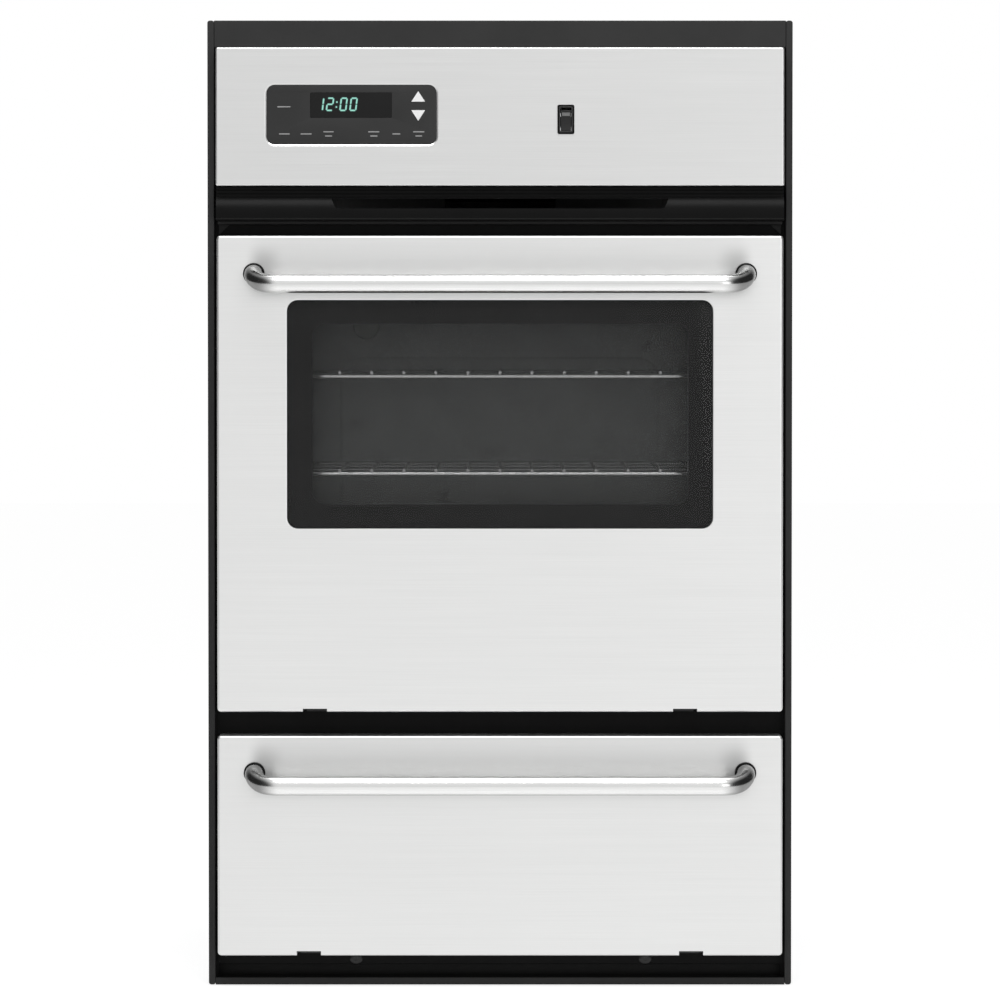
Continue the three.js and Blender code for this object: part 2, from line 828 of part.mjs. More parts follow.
function burnerSupport() {
  const front = cabinetY + supportFront;
  const rear = front + supportDepth;
  const half = cavityHalf - seatGap;
  const low = burnerZ - supportHeight;
  const cross = block(-half, half, front, rear, low, low + supportSheet);
  const saddle = block(-saddleHalf, saddleHalf, front, front + supportSheet, low, burnerZ);
  const tabs = sides.map(({ sign }) => block(sign * half, sign * (half - supportSheet), front, rear,
    low, burnerZ));
  return joined(cut(joined(cross, saddle), burnerHole(front, rear)), ...tabs);
}

// Shallow roof over the burner, standing on two end plates that sit round the tube
function flameSpreader() {
  const front = cabinetY + spreaderFront;
  const rear = cavityRearY - spreaderRear;
  const crest = burnerZ + burnerRadius + spreaderRise;
  const eaves = crest - spreaderWing;
  const roofOutline = new THREE.Shape([
    [-spreaderHalf, eaves], [0, crest], [spreaderHalf, eaves],
    [spreaderHalf, eaves + spreaderSheet], [0, crest + spreaderSheet], [-spreaderHalf, eaves + spreaderSheet],
  ].map(([x, z]) => new THREE.Vector2(x, z)));
  const roof = plate(roofOutline, rear, rear - front);
  const endOutline = polygon([
    [-saddleHalf, burnerZ],
    [saddleHalf, burnerZ],
    [saddleHalf, crest - spreaderWing * saddleHalf / spreaderHalf + spreaderSheet / 2],
    [0, crest + spreaderSheet / 2],
    [-saddleHalf, crest - spreaderWing * saddleHalf / spreaderHalf + spreaderSheet / 2],
  ]);
  const ends = [front + spreaderEnd, rear].map((y) => plate(endOutline, y, spreaderEnd));
  return joined(roof, ...ends.map((end) => cut(end, burnerHole(front, rear))));
}

function igniter() {
  const front = cabinetY + igniterFront;
  const side = burnerRadius + seatGap;
  return block(side, side + igniterThickness, front, front + igniterLength,
    burnerZ - igniterHeight / 2, burnerZ + igniterHeight / 2);
}

function gasValve() {
  const front = burnerTailY + seatGap + valveHoodLength;
  const half = valveWidth / 2;
  const body = block(-half, half, front, front + valveDepth,
    burnerZ - valveHeight / 2, burnerZ + valveHeight / 2);
  const hood = rod(burnerTailRadius, [0, front - valveHoodLength, burnerZ],
    [0, front + valveDepth / 2, burnerZ], burnerSides);
  return joined(body, hood);
}

// Pipe from under the valve down to the inlet fitting behind the rear cover's hole
function gasPipe() {
  const dropY = burnerTailY + seatGap + valveHoodLength + valveDepth / 2;
  const topZ = burnerZ - valveHeight / 2 - seatGap;
  const drop = rod(pipeRadius, [0, dropY, topZ], [0, dropY, pipeZ - pipeRadius], pipeSides);
  const run = rod(pipeRadius, [0, dropY, pipeZ], [0, shellRearY, pipeZ], pipeSides);
  const nutEnd = rearSheetY - seatGap;
  const nut = rod(pipeNutRadius, [0, nutEnd - pipeNutLength, pipeZ], [0, nutEnd, pipeZ], nutSides);
  return joined(drop, run, nut);
}

function flueOutline(wall) {
  const kneeY = cabinetY + flueKnee;
  const mouth = ventSlotHalf + flueSheet - wall;
  const riser = flueHalf - wall;
  const front = wall > 0 ? cabinetY - overrun : cabinetY;
  return polygon([
    [-mouth, front],
    [mouth, front],
    [riser, kneeY],
    [riser, flueRearY - wall],
    [-riser, flueRearY - wall],
    [-riser, kneeY],
  ]);
}

function flueDuct() {
  const ductZ = flueMouthZ - flueSheet;
  const ductHeight = flueMouthHeight + 2 * flueSheet;
  const riserOuter = block(-flueHalf, flueHalf, flueFrontY, flueRearY, linerTopZ, ductZ + flueSheet);
  const riserInner = block(-flueHalf + flueSheet, flueHalf - flueSheet,
    flueFrontY + flueSheet, flueRearY - flueSheet, linerTopZ - overrun, flueMouthZ + overrun);
  return cut(
    joined(slab(flueOutline(0), ductZ, ductHeight), riserOuter),
    slab(flueOutline(flueSheet), flueMouthZ, flueMouthHeight),
    riserInner,
  );
}

function lampHolder() {
  const front = cavityRearY - lampFlangeThickness;
  const socket = lampSocketRadius;
  const socketEnd = front + lampSocketDepth;
  return turned([
    [0, socketEnd],
    [socket, socketEnd],
    [socket, front],
    [lampFlangeRadius, front],
    [lampFlangeRadius, cavityRearY],
    [lampNeckRadius, cavityRearY],
    [lampNeckRadius, insulationRearY],
    [0, insulationRearY],
  ], lampX, lampZ, lampSides);
}

function lampBulb() {
  const socketEnd = cavityRearY - lampFlangeThickness + lampSocketDepth - seatGap;
  const neckEnd = socketEnd - bulbNeckLength;
  const rise = Math.sqrt(bulbRadius ** 2 - bulbNeckRadius ** 2);
  const centre = neckEnd - rise;
  const startAngle = Math.PI - Math.asin(bulbNeckRadius / bulbRadius);
  const globe = [];
  for (let i = 0; i < globeSteps; i += 1) {
    const angle = startAngle * i / globeSteps;
    globe.push([bulbRadius * Math.sin(angle), centre - bulbRadius * Math.cos(angle)]);
  }
  return turned([...globe, [bulbNeckRadius, neckEnd], [bulbNeckRadius, socketEnd], [0, socketEnd]],
    lampX, lampZ, lampSides);
}

function temperatureSensor() {
  const half = probeFlangeWidth / 2;
  const halfHeight = probeFlangeHeight / 2;
  const flange = block(probeX - half, probeX + half, cavityRearY - probeFlangeSheet, cavityRearY,
    probeZ - halfHeight, probeZ + halfHeight);
  const stem = rod(probeRadius, [probeX, cavityRearY - probeLength, probeZ],
    [probeX, cavityRearY - probeFlangeSheet / 2, probeZ], probeSides);
  return joined(flange, stem);
}

function ovenGasket() {
  const outer = gasketInset + gasketWidth;
  const ring = (margin, corner) => roundedOutline(-cavityHalf - margin, cavityHalf + margin,
    cavityFloorZ - margin, cavityTopZ + margin, corner);
  return cut(
    plate(ring(outer, gasketCorner), faceY, gasketThickness),
    plate(ring(gasketInset, gasketCorner - gasketWidth / 2), faceY + overrun, gasketThickness + 2 * overrun),
  );
}

// Racks and guides
const lowestRackZ = cavityFloorZ + lowestRackAboveFloor;
const highestRackZ = cavityTopZ - highestRackBelowCeiling;
const rackZ = (rail) => THREE.MathUtils.lerp(lowestRackZ, highestRackZ, rail / (railCount - 1));
const guideX = cavityHalf - seatGap - guideRadius;
const railX = guideX - guideRadius - railRadius + rackSink;
const rackSideHalf = guideX - guideRadius - seatGap - rackRodRadius;

// The six-sided rods of rack and rail meet on their slanted faces, a seat gap apart
const railOffset = railX - rackSideHalf;
const railDrop = railRadius + rackRodRadius + (seatGap - railOffset / 2) / Math.cos(Math.PI / rodSides);

function rackGuide(sign) {
  const front = cabinetY + guideFront;
  const rear = cavityRearY - guideRear;
  const low = lowestRackZ - railDrop - guideEnd;
  const high = highestRackZ - railDrop + guideEnd;
  const uprights = [front, rear].map((y) =>
    rod(guideRadius, [sign * guideX, y, low], [sign * guideX, y, high], rodSides));
  const rails = [];
  for (let rail = 0; rail < railCount; rail += 1) {
    const z = rackZ(rail) - railDrop;
    rails.push(rod(railRadius, [sign * railX, front - guideOverhang, z],
      [sign * railX, rear + guideOverhang, z], rodSides));
  }
  return joined(...uprights, ...rails);
}

function ovenRack(rail) {
  const z = rackZ(rail);
  const front = cabinetY + rackFront;
  const rear = cavityRearY - rackRear;
  const wireFront = front - rackRodRadius;
  const wireRear = rear + rackRodRadius;
  const sideRods = sides.map(({ sign }) => rod(rackRodRadius,
    [sign * rackSideHalf, wireFront, z], [sign * rackSideHalf, wireRear, z], rodSides));
  const crossRods = [];
  for (let i = 0; i <= rackCrossCount + 1; i += 1) {
    const y = THREE.MathUtils.lerp(front, rear, i / (rackCrossCount + 1));
    const radius = i % (rackCrossCount + 1) === 0 ? rackRodRadius : rackWireRadius;
    const crossZ = z + rackRodRadius - radius;
    crossRods.push(rod(radius, [-rackSideHalf, y, crossZ], [rackSideHalf, y, crossZ], rodSides));
  }
  const wires = [];
  const wireZ = z + rackRodRadius + rackWireRadius - rackSink;
  const wireSide = Math.floor((rackSideHalf - rackWireMargin) / rackWirePitch);
  for (let i = -wireSide; i <= wireSide; i += 1) {
    const x = i * rackWirePitch;
    wires.push(rod(rackWireRadius, [x, wireFront, wireZ], [x, wireRear, wireZ], rodSides));
  }
  return joined(...sideRods, ...crossRods, ...wires);
}

// Broiler pan and grid
const panFrontY = cabinetY + panFront;
const panRearY = cavityRearY - panRear;
const panRimHalf = cavityHalf - panSideGap;
const panBodyHalf = panRimHalf - panRimWidth;
const panRimZ = panLedgeZ + seatGap;

function broilerPan() {
  const rimOutline = roundedOutline(-panRimHalf, panRimHalf, panFrontY, panRearY, panCorner);
  const rim = slab(rimOutline, panRimZ, panSheet);
  const well = (margin) => roundedOutline(-panBodyHalf + margin, panBodyHalf - margin,
    panFrontY + panRimWidth + margin, panRearY - panRimWidth - margin, panWellCorner - margin);
  const bottom = panRimZ - panDepth;
  return cut(
    joined(rim, slab(well(0), bottom, panDepth + panSheet / 2)),
    slab(well(panSheet), bottom + panSheet, panDepth + overrun),
  );
}

function broilerGrid() {
  const z = panRimZ + panSheet + seatGap;
  const half = panRimHalf - gridInset;
  const front = panFrontY + gridInset;
  const rear = panRearY - gridInset;
  const sheet = slab(roundedOutline(-half, half, front, rear, gridCorner), z, gridSheet);
  const rowPitch = (rear - front - gridBridge) / gridSlotRows;
  const slotSide = Math.floor((half - gridSlotMargin) / gridSlotPitch);
  const slots = [];
  for (let row = 0; row < gridSlotRows; row += 1) {
    const y = front + gridBridge + row * rowPitch;
    for (let i = -slotSide; i <= slotSide; i += 1) {
      const x = i * gridSlotPitch;
      slots.push(block(x - gridSlotWidth / 2, x + gridSlotWidth / 2, y, y + rowPitch - gridBridge,
        z - overrun, z + gridSheet + overrun));
    }
  }
  return cut(sheet, ...slots);
}

// Doors
const doorFrontY = ahead(doorReach);
const skinBackY = doorFrontY + skinSheet;
const skinRearY = ahead(skinRearReach);
const windowTop = ovenDoorTop - windowBelowTop;
const windowBottom = ovenDoorBottom + windowAboveBottom;
const windowHalf = doorHalf - windowSide;
const handleHalf = doorHalf - handleInset;

function doorOutline(door, inset) {
  return roundedOutline(-doorHalf + inset, doorHalf - inset, door.bottom + inset, door.top - inset,
    Math.max(doorCorner - inset, skinSheet));
}

function windowOutline(margin) {
  const half = windowHalf + margin;
  const corner = windowCorner + Math.max(margin, 0);
  return roundedOutline(-half, half, windowBottom - margin, windowTop + margin, corner);
}

function throughDoor(outline) {
  return plate(outline, faceY + plugDepth + overrun, doorReach + plugDepth + 2 * overrun);
}

function doorSkin(door) {
  const tray = cut(
    plate(doorOutline(door, 0), skinRearY, doorReach - skinRearReach),
    plate(doorOutline(door, skinSheet), skinRearY + overrun, skinRearY + overrun - skinBackY),
  );
  const notches = sides.map(({ sign }) => {
    const x = sign * door.notchX;
    return block(x - notchWidth / 2, x + notchWidth / 2, doorFrontY - overrun, skinRearY + overrun,
      door.bottom - overrun, door.bottom + door.notchHeight);
  });
  return cut(tray, ...notches);
}

function hingeSlots(door) {
  return sides.map(({ sign }) => {
    const x = sign * door.notchX;
    return block(x - notchWidth / 2, x + notchWidth / 2, ahead(pivotReach + lugRadius), faceY + overrun,
      door.bottom - overrun, door.bottom + hingeSlotRise);
  });
}

const linerInset = skinSheet + seatGap;

function linerTray(door) {
  return cut(
    plate(doorOutline(door, linerInset), ahead(linerReach), linerTrayDepth),
    plate(doorOutline(door, linerInset + linerSheet), ahead(linerReach + linerSheet), linerTrayDepth),
  );
}

function plugOutline(inset) {
  return roundedOutline(-cavityHalf + plugSideClearance + inset, cavityHalf - plugSideClearance - inset,
    cavityFloorZ + plugEndClearance + inset, cavityTopZ - plugEndClearance - inset, plugCorner - inset);
}

function ovenDoorLiner() {
  const plugRearY = ahead(linerReach - plugDepth);
  const plug = plate(plugOutline(0), plugRearY, plugDepth + linerSheet / 2);
  const plugHollow = plate(plugOutline(linerSheet), plugRearY - linerSheet, plugDepth + overrun);
  const opening = throughDoor(windowOutline(-innerWindowInset));
  return cut(joined(linerTray(ovenDoor), plug), plugHollow, opening, ...hingeSlots(ovenDoor));
}

function ovenDoorGlass() {
  return plate(windowOutline(glassLap), skinBackY + glassThickness, glassThickness);
}

function ovenDoorInnerGlass() {
  const glassRear = ahead(linerReach - plugDepth + linerSheet);
  return plate(windowOutline(innerGlassLap - innerWindowInset), glassRear, glassThickness);
}

function ovenDoorFill() {
  const rear = ahead(linerReach + linerSheet + seatGap);
  const edge = linerInset + linerSheet + doorFillEdge;
  const filling = plate(doorOutline(ovenDoor, edge), rear, doorFillThickness);
  const pockets = sides.map(({ sign }) => {
    const x = sign * ovenDoor.notchX;
    const half = notchWidth / 2;
    return block(x - half, x + half, rear - doorFillThickness - overrun, rear + overrun,
      ovenDoor.bottom - overrun, ovenDoor.bottom + pivotRise + armLength + overrun);
  });
  return cut(filling, throughDoor(windowOutline(doorFillWindow)), ...pockets);
}

// Bent tube handle: out from the door, round a bend and across, drooping as it comes forward
class HandlePath extends THREE.Curve {
  constructor(points) {
    super();
    this.points = points;
  }

  getUtoTmapping(u) {
    return u;
  }

  getPoint(t) {
    const place = t * (this.points.length - 1);
    const index = Math.min(Math.floor(place), this.points.length - 2);
    return this.points[index].clone().lerp(this.points[index + 1], place - index);
  }

  getTangent(t) {
    const index = Math.round(t * (this.points.length - 1));
    const before = this.points[Math.max(index - 1, 0)];
    const here = this.points[index];
    const after = this.points[Math.min(index + 1, this.points.length - 1)];
    const arriving = here.clone().sub(before).normalize();
    const leaving = after.clone().sub(here).normalize();
    return arriving.add(leaving).normalize();
  }
}

function handlePoints(door) {
  const leg = handleStandOff - handleBend;
  const flat = [[-handleHalf, 0], [-handleHalf, leg / 2]];
  for (let i = 0; i <= bendSteps; i += 1) {
    const angle = Math.PI / 2 * i / bendSteps;
    const inward = handleBend * (1 - Math.cos(angle));
    flat.push([inward - handleHalf, leg + handleBend * Math.sin(angle)]);
  }
  const mirrored = flat.map(([x, forward]) => [-x, forward]).reverse();
  return [...flat, ...mirrored].map(([x, forward]) => {
    const rise = THREE.MathUtils.smoothstep(forward, leg / 2, handleStandOff);
    return new THREE.Vector3(x, doorFrontY - forward, door.handleZ - handleDroop * rise);
  });
}

function doorHandle(door) {
  const points = handlePoints(door);
  const circle = new THREE.Shape().absarc(0, 0, handleRadius, 0, 2 * Math.PI);
  const geometry = new THREE.ExtrudeGeometry(circle, {
    steps: points.length - 1,
    bevelEnabled: false,
    curveSegments: handleSteps,
    extrudePath: new HandlePath(points),
  });
  return solid(geometry);
}

function handleGrommet(door, sign) {
  const bore = handleRadius + seatGap;
  const rim = handleRadius + grommetLip + seatGap;
  return turned([
    [bore, doorFrontY],
    [bore, doorFrontY - grommetDepth],
    [rim, doorFrontY - grommetDepth],
    [rim, doorFrontY],
    [bore, doorFrontY],
  ], sign * handleHalf, door.handleZ, grommetSides);
}

// Hinge: a bracket with a pin on the face frame, and a forked arm inside the door
function hingeBracket(door, sign) {
  const x = sign * door.notchX;
  const z = door.bottom + pivotRise;
  const pivotY = ahead(pivotReach);
  const half = lugThickness / 2;
  const foot = block(x - bracketWidth / 2, x + bracketWidth / 2, ahead(bracketSheet), faceY,
    z - bracketHeight / 2, z + bracketHeight / 2);
  const lug = block(x - half, x + half, pivotY, ahead(bracketSheet / 2), z - lugRadius, z + lugRadius);
  const nose = rod(lugRadius, [x - half, pivotY, z], [x + half, pivotY, z], hingeSides);
  const pinHalf = half + lugSideGap + armCheek;
  const pin = rod(pinRadius, [x - pinHalf, pivotY, z], [x + pinHalf, pivotY, z], hingeSides);
  return joined(foot, lug, nose, pin);
}

function hingeArm(door, sign) {
  const x = sign * door.notchX;
  const z = door.bottom + pivotRise;
  const pivotY = ahead(pivotReach);
  const inner = lugThickness / 2 + lugSideGap;
  const outer = inner + armCheek;
  const rearY = ahead(linerReach + linerSheet + seatGap);
  const frontY = rearY - armDepth;
  const web = block(x - outer, x + outer, rearY - armWeb, rearY, z + armWebRise, z + armLength);
  const cheeks = [];
  for (const cheekSign of [-1, 1]) {
    const x0 = x + cheekSign * inner;
    const x1 = x + cheekSign * outer;
    cheeks.push(block(x0, x1, frontY, rearY, z, z + armLength));
    cheeks.push(rod(armRadius, [x0, pivotY, z], [x1, pivotY, z], hingeSides));
  }
  const boreHalf = outer + overrun;
  const boreRadius = pinRadius + pinClearance;
  const bore = rod(boreRadius, [x - boreHalf, pivotY, z], [x + boreHalf, pivotY, z], hingeSides);
  return cut(joined(web, ...cheeks), bore);
}

// Assembly
put(chassis, 'rear_cover', rearCover(), galvanised);
put(chassis, 'top_cover', topCover(), galvanised);
put(chassis, 'base_pan', basePan(), galvanised);
put(chassis, 'face_frame', faceFrame(), blackPaint);
put(chassis, 'top_trim', topTrim(), trimPaint);
put(chassis, 'bottom_trim', bottomTrim(), trimPaint);
put(chassis, 'vent_trim', ventTrim(), blackPlastic);
put(chassis, 'control_panel', controlPanel(), stainless);
put(chassis, 'control_overlay', controlOverlay(), keypadFilm);
put(chassis, 'display_lens', lensBlock(0, panelBackY, overlaySheet), darkGlass);
put(chassis, 'control_board', controlBoard(), blackPlastic);
put(chassis, 'switch_housing', switchHousing(), blackPlastic);
put(chassis, 'oven_liner', ovenLiner(), enamel);
put(chassis, 'broiler_liner', broilerLiner(), enamel);
put(chassis, 'insulation_blanket', insulationBlanket(), wool);
put(chassis, 'oven_floor', ovenFloor(), enamel);
put(chassis, 'oven_burner', ovenBurner(), castAluminium);
put(chassis, 'burner_support', burnerSupport(), galvanised);
put(chassis, 'flame_spreader', flameSpreader(), galvanised);
put(chassis, 'igniter', igniter(), ceramic);
put(chassis, 'gas_valve', gasValve(), castAluminium);
put(chassis, 'gas_pipe', gasPipe(), brass);
put(chassis, 'flue_duct', flueDuct(), galvanised);
put(chassis, 'lamp_holder', lampHolder(), ceramic);
put(chassis, 'lamp_bulb', lampBulb(), clearGlass);
put(chassis, 'temperature_sensor', temperatureSensor(), chrome);
put(chassis, 'oven_gasket', ovenGasket(), sealFibre);
for (const { name, sign } of sides) {
  put(chassis, `side_panel_${name}`, sidePanel(sign), galvanised);
  put(chassis, `side_trim_${name}`, sideTrim(sign), trimPaint);
  put(chassis, `rack_guide_${name}`, rackGuide(sign), chrome);
  put(chassis, `oven_hinge_bracket_${name}`, hingeBracket(ovenDoor, sign), blackPaint);
  put(chassis, `broiler_hinge_bracket_${name}`, hingeBracket(broilerDoor, sign), blackPaint);
}

const lightSwitchGroup = bodyGroup();
put(lightSwitchGroup, 'switch_rocker', switchRocker(), blackPlastic);

const ovenDoorGroup = bodyGroup();
put(ovenDoorGroup, 'oven_door_skin', cut(doorSkin(ovenDoor), throughDoor(windowOutline(0))), stainless);
put(ovenDoorGroup, 'oven_door_glass', ovenDoorGlass(), darkGlass);
put(ovenDoorGroup, 'oven_door_inner_glass', ovenDoorInnerGlass(), clearGlass);
put(ovenDoorGroup, 'oven_door_liner', ovenDoorLiner(), enamel);
put(ovenDoorGroup, 'oven_door_filling', ovenDoorFill(), wool);
put(ovenDoorGroup, 'oven_door_handle', doorHandle(ovenDoor), polished);

const broilerDoorGroup = bodyGroup();
put(broilerDoorGroup, 'broiler_door_skin', doorSkin(broilerDoor), stainless);
put(broilerDoorGroup, 'broiler_door_liner', cut(linerTray(broilerDoor), ...hingeSlots(broilerDoor)), enamel);
put(broilerDoorGroup, 'broiler_door_handle', doorHandle(broilerDoor), polished);

for (const [door, group] of [[ovenDoor, ovenDoorGroup], [broilerDoor, broilerDoorGroup]]) {
  for (const { name, sign } of sides) {
    put(group, `${door.name}_handle_grommet_${name}`, handleGrommet(door, sign), blackPlastic);
    put(group, `${door.name}_hinge_arm_${name}`, hingeArm(door, sign), galvanised);
  }
}

const upperRackGroup = bodyGroup();
put(upperRackGroup, 'upper_rack', ovenRack(railsBelowUpperRackCount), chrome);

const lowerRackGroup = bodyGroup();
put(lowerRackGroup, 'lower_rack', ovenRack(railsBelowLowerRackCount), chrome);

const broilerTrayGroup = bodyGroup();
put(broilerTrayGroup, 'broiler_pan', broilerPan(), enamel);
put(broilerTrayGroup, 'broiler_grid', broilerGrid(), enamel);

export default wallOven;
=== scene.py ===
"""Looks of the built-in wall oven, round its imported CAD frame. Lengths in the tables are millimetres."""
import json
import math

import bmesh
import bpy
from mathutils import Matrix, Vector


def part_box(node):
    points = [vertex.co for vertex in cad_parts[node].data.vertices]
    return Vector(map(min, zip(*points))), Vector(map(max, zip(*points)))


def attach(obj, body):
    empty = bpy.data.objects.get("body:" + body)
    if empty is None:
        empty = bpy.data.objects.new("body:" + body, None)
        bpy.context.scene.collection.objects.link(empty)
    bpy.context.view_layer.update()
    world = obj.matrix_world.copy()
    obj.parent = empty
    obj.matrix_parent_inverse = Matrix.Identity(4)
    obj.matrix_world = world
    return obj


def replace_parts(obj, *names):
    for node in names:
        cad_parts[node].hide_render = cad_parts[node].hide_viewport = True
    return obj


MM = 0.001
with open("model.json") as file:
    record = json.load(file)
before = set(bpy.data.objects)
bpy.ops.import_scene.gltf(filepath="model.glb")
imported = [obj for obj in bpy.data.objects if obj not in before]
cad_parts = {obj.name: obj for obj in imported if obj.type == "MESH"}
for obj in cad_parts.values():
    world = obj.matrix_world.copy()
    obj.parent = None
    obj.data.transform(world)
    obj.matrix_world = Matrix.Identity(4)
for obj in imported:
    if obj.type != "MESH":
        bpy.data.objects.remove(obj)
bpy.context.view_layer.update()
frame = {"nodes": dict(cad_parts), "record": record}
scene = bpy.context.scene


def linked(name, data):
    obj = bpy.data.objects.new(name, data)
    scene.collection.objects.link(obj)
    return obj


# Materials. Their grain lies in each object's own coordinates
def new_material(name, colour, roughness, metallic=0.0, specular=0.5):
    mat = bpy.data.materials.new(name)
    mat.use_nodes = True
    shader = mat.node_tree.nodes["Principled BSDF"]
    shader.inputs["Base Color"].default_value = (*colour, 1)
    shader.inputs["Roughness"].default_value = roughness
    shader.inputs["Metallic"].default_value = metallic
    shader.inputs["Specular IOR Level"].default_value = specular
    return mat


def shader_of(mat):
    return mat.node_tree.nodes["Principled BSDF"]


def added(tree, kind, **values):
    """A new shader node. An underscore stands for the space in an input's name."""
    node = tree.nodes.new("ShaderNode" + kind)
    for key, value in values.items():
        node.inputs[key.replace("_", " ")].default_value = value
    return node


def computed(tree, operation, *values, clamp=False):
    node = added(tree, "Math")
    node.operation = operation
    node.use_clamp = clamp
    for socket, value in zip(node.inputs, values):
        tree.links.new(value, socket)
    return node.outputs[0]


def mapped(tree, value, low, high, out_low, out_high, curve="LINEAR"):
    node = added(tree, "MapRange", From_Min=low, From_Max=high, To_Min=out_low, To_Max=out_high)
    node.interpolation_type = curve
    tree.links.new(value, node.inputs["Value"])
    return node.outputs["Result"]


def coords(mat, scale):
    tree = mat.node_tree
    where = added(tree, "TexCoord")
    mapping = added(tree, "Mapping", Scale=scale)
    tree.links.new(where.outputs["Object"], mapping.inputs["Vector"])
    return mapping.outputs["Vector"]


def noise(mat, scale, detail=4.0, rough=0.55):
    tex = added(mat.node_tree, "TexNoise", Scale=1.0, Detail=detail, Roughness=rough)
    mat.node_tree.links.new(coords(mat, scale), tex.inputs["Vector"])
    return tex.outputs["Fac"]


def voronoi(mat, scale, output="Distance", randomness=1.0):
    tex = added(mat.node_tree, "TexVoronoi", Scale=1.0, Randomness=randomness)
    mat.node_tree.links.new(coords(mat, scale), tex.inputs["Vector"])
    return tex.outputs[output]


def ranged(mat, value, low, high, out_low, out_high):
    return mapped(mat.node_tree, value, low, high, out_low, out_high)


def blended(mat, value, low, high, dark, light):
    """A colour ramp from dark to light between two values of a texture."""
    ramp = added(mat.node_tree, "ValToRGB")
    for element, place, colour in zip(ramp.color_ramp.elements, (low, high), (dark, light)):
        element.position = place
        element.color = (*colour, 1)
    mat.node_tree.links.new(value, ramp.inputs["Fac"])
    return ramp.outputs["Color"]


def mixed(mat, factor, first, second, blend="MIX"):
    links = mat.node_tree.links
    node = added(mat.node_tree, "Mix")
    node.data_type = "RGBA"
    node.blend_type = blend
    if isinstance(factor, float):
        node.inputs["Factor"].default_value = factor
    else:
        links.new(factor, node.inputs["Factor"])
    for socket, value in ((node.inputs["A"], first), (node.inputs["B"], second)):
        if isinstance(value, tuple):
            socket.default_value = (*value, 1)
        else:
            links.new(value, socket)
    return node.outputs["Result"]


def times(mat, first, second):
    return mixed(mat, 1.0, first, second, "MULTIPLY")


def wire(mat, value, socket):
    mat.node_tree.links.new(value, shader_of(mat).inputs[socket])


def bump(mat, height, distance, strength=1.0):
    node = added(mat.node_tree, "Bump", Distance=distance, Strength=strength)
    mat.node_tree.links.new(height, node.inputs["Height"])
    wire(mat, node.outputs["Normal"], "Normal")


def tone(level):
    return (level, level, level)


def tinted(colour, factor):
    return tuple(channel * factor for channel in colour)


def masked(mat, axis, start, end, out_start, out_end):
    """Smooth change of a value between two places in metres along an object axis, both ways from X = 0."""
    tree = mat.node_tree
    split = added(tree, "SeparateXYZ")
    tree.links.new(coords(mat, (1, 1, 1)), split.inputs[0])
    along = split.outputs[axis]
    if axis == "X":
        along = computed(tree, "ABSOLUTE", along)
    return mapped(tree, along, start, end, out_start, out_end, "SMOOTHSTEP")


def product(mat, first, second):
    return computed(mat.node_tree, "MULTIPLY", first, second)


def brushed(name, colour, roughness, streak, handle_z=None, shade_tone=0.8):
    """Steel brushed along X: fine lines, broader bands and faint clouds. Given a handle's height, it also
    paints the handle's shade into the colour: darkest at the handle's height and fading above it, with
    darker spots above the handle's ends.
    """
    mat = new_material(name, colour, roughness, 1.0)
    lines = noise(mat, (7, 7, 1500), 5.0, 0.6)
    bands = noise(mat, (2.5, 2.5, 260), 3.0, 0.5)
    cloud = noise(mat, (3, 3, 5), 2.0, 0.5)
    base = blended(mat, lines, 0.3, 0.7, tinted(colour, 1 - streak), tinted(colour, 1 + streak))
    wide = blended(mat, bands, 0.3, 0.7, tone(1 - streak * 0.6), tone(1.0))
    soft = blended(mat, cloud, 0.3, 0.7, tone(1 - streak * 0.6), tone(1.0))
    steel = times(mat, times(mat, base, wide), soft)
    if handle_z:
        # Painted shade of the handle: darker at the handle's height and above it, and darker spots above its
        # ends
        near = product(mat, masked(mat, "Z", handle_z - 0.02, handle_z, 0.0, 1.0),
                       masked(mat, "Z", handle_z, handle_z + 0.052, 1.0, 0.25))
        painted_handle_shade = product(mat, near, masked(mat, "X", 0.243, 0.262, 1.0, 0.0))
        steel = mixed(mat, painted_handle_shade, steel, tinted(colour, shade_tone))
        painted_ring_shade = product(mat, masked(mat, "Z", handle_z + 0.004, handle_z + 0.022, 0.0, 1.0),
                       masked(mat, "Z", handle_z + 0.022, handle_z + 0.044, 1.0, 0.0))
        painted_ring_shade = product(mat, painted_ring_shade, product(mat, masked(mat, "X", 0.22, 0.244, 0.0, 1.0),
                                          masked(mat, "X", 0.246, 0.264, 0.6, 0.0)))
        steel = mixed(mat, painted_ring_shade, steel, tinted(colour, 0.5))
    wire(mat, steel, "Base Color")
    wire(mat, ranged(mat, lines, 0.25, 0.75, roughness - 0.06, roughness + 0.08), "Roughness")
    bump(mat, lines, 0.00004, 0.35)
    return mat


def drawn_tube(name, colour, roughness, edge=1.0):
    """Polished metal with faint draw lines. An edge below 1 paints reflection into the colour: darker
    towards the outline, and a grey line where the surface faces the viewer.
    """
    mat = new_material(name, colour, roughness, 1.0)
    lines = noise(mat, (12, 900, 900), 4.0, 0.6)
    cloud = noise(mat, (30, 30, 30), 2.0, 0.5)
    base = blended(mat, lines, 0.3, 0.7, tinted(colour, 0.95), tinted(colour, 1.03))
    if edge < 1:
        # Painted reflection: darker towards the outline, grey where the tube faces the viewer
        rim = added(mat.node_tree, "LayerWeight", Blend=0.5)
        fall = blended(mat, rim.outputs["Facing"], 0.55, 0.92, tone(1.0), tone(edge))
        line = blended(mat, rim.outputs["Facing"], 0.0, 0.14, tone(0.86), tone(1.0))
        base = times(mat, times(mat, base, fall), line)
    wire(mat, base, "Base Color")
    wire(mat, ranged(mat, cloud, 0.3, 0.7, roughness - 0.04, roughness + 0.05), "Roughness")
    bump(mat, lines, 0.00001, 0.1)
    return mat


